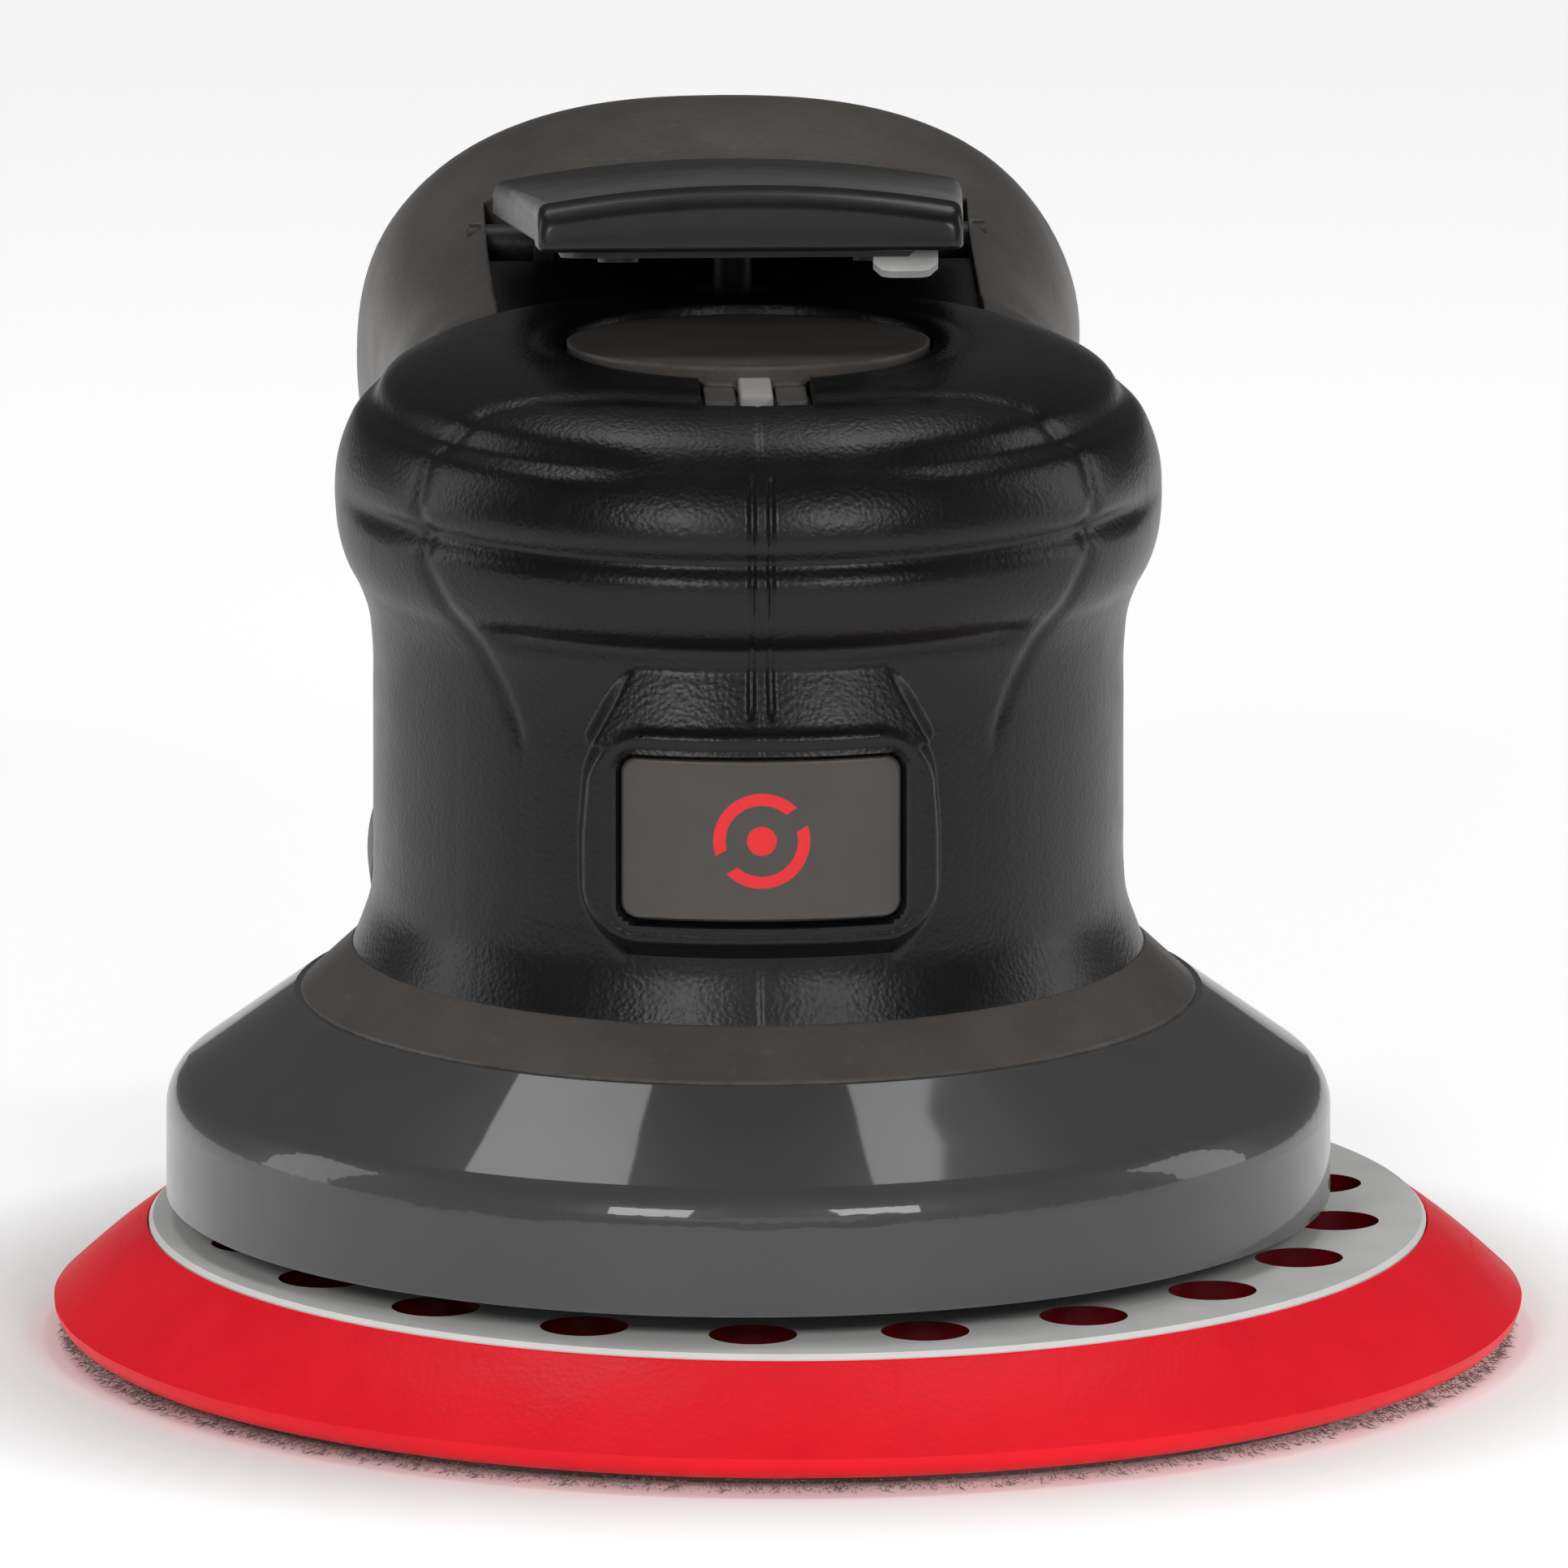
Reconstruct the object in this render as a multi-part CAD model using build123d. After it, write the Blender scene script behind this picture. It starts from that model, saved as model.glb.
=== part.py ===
# Palm-grip random orbital air tool with a dust shroud and a 150 mm hook-and-loop pad.
# +Z is up along the motor axis, -Y is the front, and z = 0 is the working face of the pad.
from build123d import *
import math
import os

os.makedirs("parts", exist_ok=True)

# ---------------------------------------------------------------- fits and clearances
running_fit = 0.03          # radial, shaft in its bore
slip_fit = 0.1              # radial, parts that are assembled by hand
seam = 0.2                  # between neighbouring covers

# ---------------------------------------------------------------- pad
orbit_offset = 4.0          # eccentricity, for an 8 mm orbit
pad_diameter = 150.0
hook_height = 1.2
foam_height = 10.6
foam_taper = 9.6            # how much the foam's radius shrinks towards the plate
plate_thickness = 2.2
plate_sink = 1.6            # depth of the plate's seat in the foam
plate_margin = 0.15         # between the plate's edge and the foam's top edge
dust_rings = [(56.0, 20, 4.5), (40.0, 14, 4.0), (26.0, 8, 3.5)]   # radius, count, hole radius
dust_ring_turn = -5.5       # degrees from the X axis to the first hole of a ring
hub_flange_r = 18.0
hub_flange_thickness = 2.4
stud_r = 3.95
stud_reach = 10.5           # how far the stud stands into the spindle
rivet_circle_r = 14.0
rivet_r = 1.6
rivet_head_r = 2.6
rivet_head_height = 0.8
rivet_count = 6

# ---------------------------------------------------------------- spindle and its bearings
hex_across_flats = 24.0
hex_height = 3.8
spindle_shoulder_r = 7.8
spindle_shoulder_height = 2.6
spindle_bearing_bore = 12.0
spindle_bearing_od = 24.0
spindle_bearing_width = 6.0
retaining_washer_r = 7.6
retaining_washer_height = 1.2
retaining_screw_r = 2.5
retaining_screw_head_r = 4.2
retaining_screw_head_height = 2.2
snap_ring_height = 1.0
snap_ring_depth = 1.0       # how far the ring sits in its groove

# ---------------------------------------------------------------- motor
eccentric_wall = 5.0
web_thickness = 4.0
weight_r = 32.0
weight_height = 8.0
weight_gap = 1.2            # under and over the balance weight
shaft_lower_bore = 15.0
lower_bearing_od = 32.0
lower_bearing_width = 9.0
shaft_upper_bore = 12.0
upper_bearing_od = 28.0
upper_bearing_width = 8.0
motor_od = 61.8
rotor_bore_r = 23.0
rotor_r = 20.0
rotor_eccentricity = 2.8
cylinder_length = 32.0
rotor_end_gap = 0.05
end_web = 4.0               # solid part of an end plate between bearing and rotor
end_plate_flange = 5.0
bearing_boss_wall = 3.5
vane_count = 5
vane_thickness = 2.0
vane_depth = 11.0
lock_ring_height = 8.5
lock_ring_bore_r = 25.6
lock_thread_depth = 2.5     # radial step from motor bore to lock ring bore
wave_washer_height = 1.2

# ---------------------------------------------------------------- housing, shroud and grip
shroud_gap = 2.6            # between the pad plate and the shroud
shroud_diameter = 118.9
shroud_height = 21.0
shroud_wall_height = 11.5
shroud_shoulder_r = 5.0
shroud_wall = 2.2
shroud_neck_wall = 2.4
shroud_neck_height = 9.0
skirt_wall = 5.5
skirt_drop = 10.5
flange_overhang = 6.8
flange_height = 5.0
housing_wall = 4.2
housing_top_wall = 4.6
grip_thickness = 3.1
foot_height = 5.0
foot_flare = 1.9
swell_out = 3.8
swell_height = 15.5
crown_height = 14.5
crown_thickness = 2.0
cap_r = 18.5
cap_height = 1.9
cap_tilt = 3.5
cap_clearance = 0.5
key_width = 11.2
key_rib_width = 3.2
key_reach = 9.0
badge_width = 28.8
badge_height = 17.0
badge_thickness = 1.0
bezel_width = 37.2
bezel_height = 23.3
bezel_foot = 8.6            # from the grip's lower edge to the bezel
bezel_stand = 4.0           # how far the bezel stands out of the neck
badge_sink = 0.5

# ---------------------------------------------------------------- tail
tail_front = 22.0           # plane where the grip ends and the tail starts
tail_length = 107.0
tail_wall = 3.0
tail_half_width = 37.3
front_squareness = 3.8      # exponent of the rounded cross-section beside the grip
rear_squareness = 2.5       # the same behind the lever
tail_cover_height = 7.0
tail_screw_x = 15.5
tail_screw_levels = (-7.0, 9.0)  # from the ports' height
tail_screw_r = 2.0
tail_screw_head_r = 3.4
tail_screw_head_height = 3.0
recess_half_width = 24.9
pivot_y = 68.0
pivot_drop = 2.0            # below the housing's top face
pin_r = 2.0
pin_half_length = 26.6
inlet_x = 14.0
exhaust_x = -15.0
port_z = 76.5
inlet_boss_r = 12.0
inlet_bore_r = 9.0
inlet_passage_r = 5.0
inlet_thread_r = 5.9        # wall radius of the G1/4 thread
inlet_thread_length = 12.0
inlet_flange_r = 12.0
inlet_flange_height = 5.0
inlet_bushing_length = 20.0
exhaust_bore_r = 11.0
exhaust_cover_r = 12.5
exhaust_cover_height = 3.0
muffler_length = 34.0
cover_screw_r = 1.5
cover_screw_x = 29.0

# ---------------------------------------------------------------- throttle
lever_tilt = 9.5
lever_press = 7.0
lever_reach = 77.5          # from the pivot to the front edge
lever_front_half_width = 21.6
lever_rear_half_width = 24.2
lever_thickness = 6.0
lever_crown = 2.0
lever_under = 2.7           # height of the paddle's underside over the pivot
lever_skin = 1.8
lever_plate_thickness = 1.5
lever_plate_half_width = 19.0
lever_ear_r = 3.9
valve_y = 50.0
valve_stem_r = 2.0
valve_chamber_r = 4.6
valve_bush_r = 6.0
valve_boss_r = 9.0
poppet_height = 3.0
spring_wire_r = 0.45
spring_turns = 5

# ---------------------------------------------------------------- regulator and dust spigot
regulator_y = 92.0
regulator_spool_r = 4.0
regulator_knob_r = 8.0
regulator_knob_height = 6.0
duct_x = -21.0
duct_r = 13.4
duct_wall = 1.9
duct_end = 84.0
duct_hood_setback = 1.5     # from the shroud's inner wall back to the centre of the duct's round hood
duct_lift = 16.0            # height of the duct's axis over the shroud's lower edge
collar_r = 15.5
collar_start = 76.0
collar_length = 15.0
spigot_r = 12.7
spigot_wall = 1.7
spigot_length = 28.0

# ---------------------------------------------------------------- levels, from the pad face up
hook_top = hook_height
foam_top = hook_top + foam_height
plate_bottom = foam_top - plate_sink
plate_top = plate_bottom + plate_thickness
hex_top = plate_top + hex_height
lower_race_z = hex_top + spindle_shoulder_height
upper_race_z = lower_race_z + spindle_bearing_width
race_top_z = upper_race_z + spindle_bearing_width
washer_top = race_top_z + retaining_washer_height
screw_top = washer_top + retaining_screw_head_height
pocket_top = screw_top + 0.6
web_top = pocket_top + web_thickness
lower_bearing_z = web_top
lower_bearing_top = lower_bearing_z + lower_bearing_width
cylinder_z = lower_bearing_top + end_web
cylinder_top = cylinder_z + cylinder_length
upper_bearing_z = cylinder_top + end_web
upper_bearing_top = upper_bearing_z + upper_bearing_width
lower_plate_z = lower_bearing_z - 0.8
ceiling_z = upper_bearing_top + wave_washer_height
housing_top = ceiling_z + housing_top_wall
shroud_bottom = plate_top + shroud_gap
shroud_top = shroud_bottom + shroud_height
flange_top = shroud_top + flange_height
skirt_bottom = shroud_top - skirt_drop
grip_top = housing_top + crown_thickness
crown_z = grip_top - crown_height
swell_z = crown_z - swell_height
foot_z = flange_top + foot_height
lock_top = lower_plate_z
lock_bottom = lock_top - lock_ring_height

# ---------------------------------------------------------------- radii
pad_r = pad_diameter / 2
foam_top_r = pad_r - foam_taper
plate_r = foam_top_r - plate_margin
shroud_r = shroud_diameter / 2
motor_bore_r = motor_od / 2 + slip_fit
thread_r = motor_bore_r + lock_thread_depth
skirt_r = thread_r + skirt_wall
flange_r = skirt_r + flange_overhang
neck_housing_r = motor_bore_r + housing_wall
neck_r = neck_housing_r + grip_thickness
swell_r = neck_r + swell_out
foot_r = neck_r + foot_flare
bearing_pocket_r = spindle_bearing_od / 2
eccentric_r = bearing_pocket_r + eccentric_wall
pivot_z = housing_top - pivot_drop
duct_z = shroud_bottom + duct_lift
tail_end = tail_front + tail_length


# ---------------------------------------------------------------- small helpers
def rod(radius, z0, z1, x=0.0, y=0.0):
    """Solid cylinder along Z."""
    return Pos(x, y, (z0 + z1) / 2) * Cylinder(radius, z1 - z0)


def tube(outer, inner, z0, z1, x=0.0, y=0.0):
    """Hollow cylinder along Z."""
    return rod(outer, z0, z1, x, y) - rod(inner, z0 - 1, z1 + 1, x, y)


def rod_y(radius, y0, y1, x, z):
    """Solid cylinder along Y."""
    return Pos(x, (y0 + y1) / 2, z) * Rot(90, 0, 0) * Cylinder(radius, y1 - y0)


def rod_x(radius, x0, x1, y, z):
    """Solid cylinder along X."""
    return Pos((x0 + x1) / 2, y, z) * Rot(0, 90, 0) * Cylinder(radius, x1 - x0)


def domed_rod_y(radius, centre_y, end_y, x, z):
    """Solid cylinder along Y with a half ball on its front end, centred at centre_y."""
    dome = ThreePointArc((0, -radius), (radius * math.sqrt(0.5), -radius * math.sqrt(0.5)), (radius, 0))
    side = Polyline((radius, 0), (radius, end_y - centre_y), (0, end_y - centre_y), (0, -radius))
    return Pos(x, centre_y, z) * revolve(make_face([dome, side]), Axis.Y)


def block(x0, x1, y0, y1, z0, z1):
    """Box between two corners."""
    return Pos((x0 + x1) / 2, (y0 + y1) / 2, (z0 + z1) / 2) * Box(x1 - x0, y1 - y0, z1 - z0)


def lathe(points, x=0.0):
    """Closed outline of (radius, z) points turned about the vertical line through x."""
    outline = Polyline(*points, close=True)
    return Pos(x, 0, 0) * revolve(make_face(Plane.XZ * outline), Axis.Z)


def around(count, radius, x=0.0, start=0.0):
    """Places on a circle about the vertical line through x."""
    for i in range(count):
        angle = math.radians(start + 360 * i / count)
        yield x + radius * math.cos(angle), radius * math.sin(angle)


def save(shape, name):
    export_step(shape, f"parts/{name}.step")


def group(shapes):
    return Compound(children=list(shapes))


# ---------------------------------------------------------------- ball bearings
def ring_section(bore, outer, width):
    """Ball radius, pitch radius and race wall of a bearing of this size."""
    space = outer / 2 - bore / 2
    return space * 0.3, (outer + bore) / 4, space * 0.26


def bearing(bore, outer, z0, width, balls, x=0.0):
    """Inner race, outer race, balls and cage of one deep groove bearing."""
    ball_r, pitch_r, race = ring_section(bore, outer, width)
    middle = z0 + width / 2
    groove = Pos(x, 0, middle) * Torus(pitch_r, ball_r + running_fit)
    inner = tube(bore / 2 + race, bore / 2, z0, z0 + width, x) - groove
    outer_race = tube(outer / 2, outer / 2 - race, z0, z0 + width, x) - groove
    places = list(around(balls, pitch_r, x))
    ball_set = [Pos(px, py, middle) * Sphere(ball_r) for px, py in places]
    cage = tube(pitch_r + race * 0.45, pitch_r - race * 0.45, middle + ball_r * 0.25, z0 + width - 0.3, x)
    for px, py in places:
        cage = cage - Pos(px, py, middle) * Sphere(ball_r + slip_fit)
    return inner, outer_race, ball_set, cage


# ---------------------------------------------------------------- pad
def dust_holes(z0, z1):
    for radius, count, hole_r in dust_rings:
        for x, y in around(count, radius, orbit_offset, dust_ring_turn):
            yield rod(hole_r, z0, z1, x, y)


def make_hook_face():
    face = rod(pad_r - 0.6, 0, hook_top, orbit_offset)
    for hole in dust_holes(-1, hook_top + 1):
        face = face - hole
    return face


def make_foam():
    """Rounded rim near the hook face, then a slightly convex taper up to the plate."""
    rim_z = hook_top + 2.4
    low = (pad_r - 0.6, hook_top)
    rim = (pad_r - 0.5, rim_z)
    top = (foam_top_r, foam_top)
    middle = ((rim[0] + top[0]) / 2 + 0.5, (rim[1] + top[1]) / 2 + 0.5)
    edges = [
        Line((0, hook_top), low),
        ThreePointArc(low, (pad_r, hook_top + 1.2), rim),
        ThreePointArc(rim, middle, top),
        Line(top, (0, foam_top)),
        Line((0, foam_top), (0, hook_top)),
    ]
    foam = Pos(orbit_offset, 0, 0) * revolve(make_face(Plane.XZ * Wire(edges)), Axis.Z)
    foam = foam - rod(plate_r + 0.05, plate_bottom, foam_top + 1, orbit_offset)
    foam = foam - rod(hub_flange_r, plate_bottom - hub_flange_thickness, plate_bottom + 1, orbit_offset)
    for x, y in around(rivet_count, rivet_circle_r, orbit_offset):
        foam = foam - rod(rivet_head_r, plate_bottom - hub_flange_thickness - rivet_head_height, foam_top, x, y)
    for hole in dust_holes(-1, foam_top + 1):
        foam = foam - hole
    return foam


def make_plate():
    plate = rod(plate_r, plate_bottom, plate_top, orbit_offset)
    top_edges = plate.edges().sort_by(Axis.Z)[-1:]
    plate = chamfer(top_edges, 0.4)
    plate = plate - rod(stud_r + slip_fit, plate_bottom - 1, plate_top + 1, orbit_offset)
    for x, y in around(rivet_count, rivet_circle_r, orbit_offset):
        plate = plate - rod(rivet_r, plate_bottom - 1, plate_top + 1, x, y)
    for hole in dust_holes(plate_bottom - 1, plate_top + 1):
        plate = plate - hole
    return plate


def make_hub():
    """Steel flange under the plate with the stud that screws into the spindle."""
    low = plate_bottom - hub_flange_thickness
    hub = rod(hub_flange_r, low, plate_bottom, orbit_offset)
    hub = hub + rod(stud_r, low, plate_top + stud_reach, orbit_offset)
    hub = chamfer(hub.edges().sort_by(Axis.Z)[-1:], 0.7)
    for x, y in around(rivet_count, rivet_circle_r, orbit_offset):
        hub = hub - rod(rivet_r, low - 1, plate_bottom + 1, x, y)
    return hub


def make_rivets():
    low = plate_bottom - hub_flange_thickness
    for x, y in around(rivet_count, rivet_circle_r, orbit_offset):
        shank = rod(rivet_r, low, plate_top, x, y)
        lower_head = rod(rivet_head_r, low - rivet_head_height, low, x, y)
        yield shank + lower_head


# ---------------------------------------------------------------- spindle
def make_spindle():
    hexagon = extrude(RegularPolygon(hex_across_flats / 2, 6, major_radius=False), hex_height)
    spindle = Pos(orbit_offset, 0, plate_top) * hexagon
    spindle = spindle + rod(spindle_shoulder_r, hex_top, lower_race_z, orbit_offset)
    spindle = spindle + rod(spindle_bearing_bore / 2, lower_race_z, race_top_z, orbit_offset)
    spindle = spindle - rod(stud_r + running_fit, plate_top - 1, plate_top + stud_reach + 0.5, orbit_offset)
    spindle = spindle - rod(retaining_screw_r, race_top_z - 6, race_top_z + 1, orbit_offset)
    return spindle


def make_retaining_screw():
    screw = rod(retaining_screw_r, race_top_z - 5.5, washer_top, orbit_offset)
    screw = screw + rod(retaining_screw_head_r, washer_top, screw_top, orbit_offset)
    socket = extrude(RegularPolygon(1.5, 6, major_radius=False), 1.4)
    return screw - Pos(orbit_offset, 0, screw_top - 1.3) * socket


# ---------------------------------------------------------------- eccentric shaft
def make_eccentric_shaft():
    """Bearing pocket on the orbit axis, motor shaft on the motor axis, weights opposite the pocket."""
    low = hex_top + weight_gap
    shaft = rod(eccentric_r, low, web_top - web_thickness / 2, orbit_offset)
    shaft = shaft + rod(shaft_lower_bore / 2 + 2.0, web_top - web_thickness, web_top)
    shaft = shaft + rod(eccentric_r - 2.0, web_top - web_thickness, lower_plate_z - 0.4, orbit_offset)
    shaft = shaft + half_disc(weight_r, low, low + weight_height)
    shaft = shaft + half_disc(lock_ring_bore_r - 2.0, low + weight_height, web_top - web_thickness)
    shaft = shaft + rod(shaft_lower_bore / 2, web_top, lower_bearing_top)
    shaft = shaft + rod(shaft_upper_bore / 2, lower_bearing_top, upper_bearing_top)
    shaft = shaft - rod(bearing_pocket_r, lower_race_z, race_top_z, orbit_offset)
    shaft = shaft - rod(bearing_pocket_r - 1.6, race_top_z - 1, pocket_top, orbit_offset)
    shaft = shaft - rod(bearing_pocket_r, low - 1, lower_race_z, orbit_offset)
    groove_top = lower_race_z
    shaft = shaft - tube(bearing_pocket_r + snap_ring_depth, bearing_pocket_r - 1,
                         groove_top - snap_ring_height, groove_top, orbit_offset)
    key_seat = Pos(0, shaft_upper_bore / 2, (cylinder_z + cylinder_top) / 2)
    return shaft - key_seat * Box(3.0, 3.0, 14.0)


def half_disc(radius, z0, z1):
    """Half of a disc on the side away from the pad's offset."""
    disc = rod(radius, z0, z1)
    return disc - block(0, radius + 1, -radius - 1, radius + 1, z0 - 1, z1 + 1)


def make_snap_ring():
    """Split ring that holds the spindle bearings in their pocket."""
    top = lower_race_z
    ring = tube(bearing_pocket_r + snap_ring_depth, bearing_pocket_r - 1.8,
                top - snap_ring_height, top, orbit_offset)
    gap_x = orbit_offset + bearing_pocket_r
    return ring - block(gap_x - 4, gap_x + 3, -2, 2, top - 3, top + 1)


# ---------------------------------------------------------------- air motor
def make_rotor():
    low = cylinder_z + rotor_end_gap
    high = cylinder_top - rotor_end_gap
    rotor = rod(rotor_r, low, high) - rod(shaft_upper_bore / 2, low - 1, high + 1)
    for i in range(vane_count):
        slot = block(rotor_r - vane_depth - 0.4, rotor_r + 2, -vane_thickness / 2 - 0.05,
                     vane_thickness / 2 + 0.05, low - 1, high + 1)
        rotor = rotor - Rot(0, 0, 90 + 360 / vane_count * (i + 0.5)) * slot
    key_seat = Pos(0, shaft_upper_bore / 2, (low + high) / 2)
    return rotor - key_seat * Box(3.0, 3.0, 14.0)


def make_vanes():
    low = cylinder_z + rotor_end_gap
    high = cylinder_top - rotor_end_gap
    for i in range(vane_count):
        vane = block(rotor_r - vane_depth, rotor_r + 0.05, -vane_thickness / 2,
                     vane_thickness / 2, low, high)
        yield Rot(0, 0, 90 + 360 / vane_count * (i + 0.5)) * vane


def make_key():
    return Pos(0, shaft_upper_bore / 2, (cylinder_z + cylinder_top) / 2) * Box(3.0, 3.0, 14.0)


def make_cylinder():
    """Liner with its bore set to one side, air slots behind and exhaust slots in front."""
    liner = rod(motor_od / 2, cylinder_z, cylinder_top)
    liner = liner - rod(rotor_bore_r, cylinder_z - 1, cylinder_top + 1, rotor_eccentricity)
    middle = (cylinder_z + cylinder_top) / 2
    for step in (-9, -3, 3, 9):
        liner = liner - block(-5, -2, 0, motor_od, middle + step - 1, middle + step + 1)
        liner = liner - block(-8, -5, -motor_od, 0, middle + step - 1.5, middle + step + 1.5)
    for z0, z1 in ((cylinder_z - 1, cylinder_z + 4), (cylinder_top - 4, cylinder_top + 1)):
        liner = liner - rod(1.5, z0, z1, -motor_od / 2 + 4.0)
    return liner


def make_lower_plate():
    plate = rod(motor_od / 2, lower_plate_z, cylinder_z)
    plate = plate - rod(lower_bearing_od / 2, lower_plate_z - 1, lower_bearing_top)
    plate = plate - rod(shaft_lower_bore / 2 - 0.9, lower_bearing_top - 1, cylinder_z + 1)
    return plate - rod(1.5, cylinder_z - 4, cylinder_z + 1, -motor_od / 2 + 4.0)


def make_upper_plate():
    boss_r = upper_bearing_od / 2 + bearing_boss_wall
    plate = rod(motor_od / 2, cylinder_top, cylinder_top + end_plate_flange)
    plate = plate + rod(boss_r, cylinder_top, upper_bearing_top)
    plate = plate - rod(upper_bearing_od / 2, upper_bearing_z, upper_bearing_top + 1)
    plate = plate - rod(shaft_upper_bore / 2 + 0.2, cylinder_top - 1, upper_bearing_z + 1)
    return plate - rod(1.5, cylinder_top - 1, cylinder_top + 4, -motor_od / 2 + 4.0)


def make_locating_pins():
    for z0, z1 in ((cylinder_z - 4, cylinder_z + 4), (cylinder_top - 4, cylinder_top + 4)):
        yield rod(1.5, z0, z1, -motor_od / 2 + 4.0)


def make_lock_ring():
    """Threaded ring with spanner notches that clamps the motor up into its bore."""
    ring = tube(thread_r - slip_fit, lock_ring_bore_r, lock_bottom, lock_top)
    for i in range(4):
        notch = block(lock_ring_bore_r - 1, lock_ring_bore_r + 4, -3, 3, lock_bottom - 1, lock_bottom + 3)
        ring = ring - Rot(0, 0, 90 * i + 45) * notch
    return ring


def make_wave_washer():
    return tube(upper_bearing_od / 2 - 0.3, upper_bearing_od / 2 - 3, upper_bearing_top, ceiling_z)


# ---------------------------------------------------------------- motor housing and grip
def crown_outline(inset, top):
    """Swell and crown of the grip, or of the housing that lies inset below it."""
    swell = swell_r - inset
    neck = neck_r - inset
    return [
        (neck, swell_z),
        (neck + (swell - neck) * 0.42, swell_z + swell_height * 0.37),
        (swell - 0.3, swell_z + swell_height * 0.72),
        (swell, crown_z),
        (swell - 1.2, crown_z + (top - crown_z) * 0.4),
        (swell - 4.4, crown_z + (top - crown_z) * 0.74),
        (swell - 9.4, crown_z + (top - crown_z) * 0.95),
        (swell - 15.0, top),
    ]


def column(inset, foot, low, top):
    """Solid turned body of the grip's outer shape, or of the housing's."""
    curve = crown_outline(inset, top)
    neck = neck_r - inset
    edges = [
        Line((0, low), (foot, low)),
        Line((foot, low), (neck, foot_z)),
        Line((neck, foot_z), curve[0]),
        Spline(*curve, tangents=[(0, 1), (-1, 0)]),
        Line(curve[-1], (0, top)),
        Line((0, top), (0, low)),
    ]
    return revolve(make_face(Plane.XZ * Wire(edges)), Axis.Z)


def housing_column():
    return column(grip_thickness, neck_housing_r, flange_top, housing_top)


def tilted_cap():
    """Round cap on the housing's top, its face sloping slightly down to the rear."""
    cap = rod(cap_r, housing_top - 1, housing_top + cap_height + 3)
    cutter = Pos(0, 0, housing_top + cap_height) * Rot(-cap_tilt, 0, 0) * Pos(0, 0, 10) * Box(80, 80, 20)
    return cap - cutter


def make_motor_housing():
    flange = lathe([(0, shroud_top), (flange_r, shroud_top), (foot_r + 0.3, flange_top), (0, flange_top)])
    housing = housing_column() + flange + rod(skirt_r, skirt_bottom, shroud_top)
    housing = housing + tilted_cap()
    key_front = -cap_r - key_reach + 1.5
    housing = housing + block(-key_rib_width / 2, key_rib_width / 2, key_front, -cap_r + 3,
                              housing_top - 1, housing_top + 1.7)
    for side in (-1, 1):
        near = side * (key_rib_width / 2 + 0.5)
        far = side * (key_width / 2 - 0.4)
        housing = housing + block(min(near, far), max(near, far), key_front, -cap_r + 3,
                                  housing_top - 1, housing_top + 1.0)
    housing = housing - rod(motor_bore_r, lock_top, cylinder_top + end_plate_flange + 0.3)
    housing = housing - rod(upper_bearing_od / 2 + bearing_boss_wall + 0.3, cylinder_top, ceiling_z)
    housing = housing - rod(thread_r, skirt_bottom - 1, lock_top)
    seal_groove = tube(skirt_r + 1, skirt_r - 2.0, seal_z() - 1.1, seal_z() + 1.1)
    housing = housing - seal_groove
    housing = housing - rod_y(inlet_passage_r - 1, 20, 60, 0, port_z)
    for x, z in tail_screw_places():
        housing = housing - rod_y(tail_screw_r, tail_screw_tip(), 60, x, z)
    return housing


def seal_z():
    """Height of the seal ring between the housing's skirt and the shroud."""
    return shroud_top - shroud_neck_height / 2


def tail_screw_places():
    for side in (-1, 1):
        for level in tail_screw_levels:
            yield side * tail_screw_x, port_z + level


def bezel_levels():
    low = flange_top + bezel_foot
    return low, low + bezel_height


def make_grip():
    grip = column(0, foot_r, flange_top, grip_top)
    low, high = bezel_levels()
    bezel = rod(neck_r + bezel_stand, low, high)
    bezel = bezel & block(-bezel_width / 2, bezel_width / 2, -80, -20, low, high)
    bezel = fillet(bezel.edges().filter_by(Axis.Y), 4.0)
    grip = grip + bezel
    middle = (low + high) / 2 - 0.8
    pocket = tube(neck_r + 20, neck_r + bezel_stand - badge_sink - badge_thickness, low, high)
    pocket = pocket & block(-badge_width / 2, badge_width / 2, -80, -20,
                            middle - badge_height / 2, middle + badge_height / 2)
    grip = grip - pocket
    grip = grip - housing_column() - rod(cap_r + cap_clearance, housing_top - 1, grip_top + 5)
    grip = grip - block(-80, 80, tail_front, 80, tail_bottom_z() - 1, grip_top + 20)
    grip = grip - block(-key_width / 2, key_width / 2, -cap_r - key_reach, -cap_r + 3,
                        housing_top - 1, grip_top + 1)
    return grip


def make_badge():
    low, high = bezel_levels()
    middle = (low + high) / 2 - 0.8
    outer = neck_r + bezel_stand - badge_sink
    plate = tube(outer, outer - badge_thickness, low, high)
    plate = plate & block(-badge_width / 2 + slip_fit, badge_width / 2 - slip_fit, -80, -20,
                          middle - badge_height / 2 + slip_fit, middle + badge_height / 2 - slip_fit)
    return fillet(plate.edges().filter_by(Axis.Y), 1.5)


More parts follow.
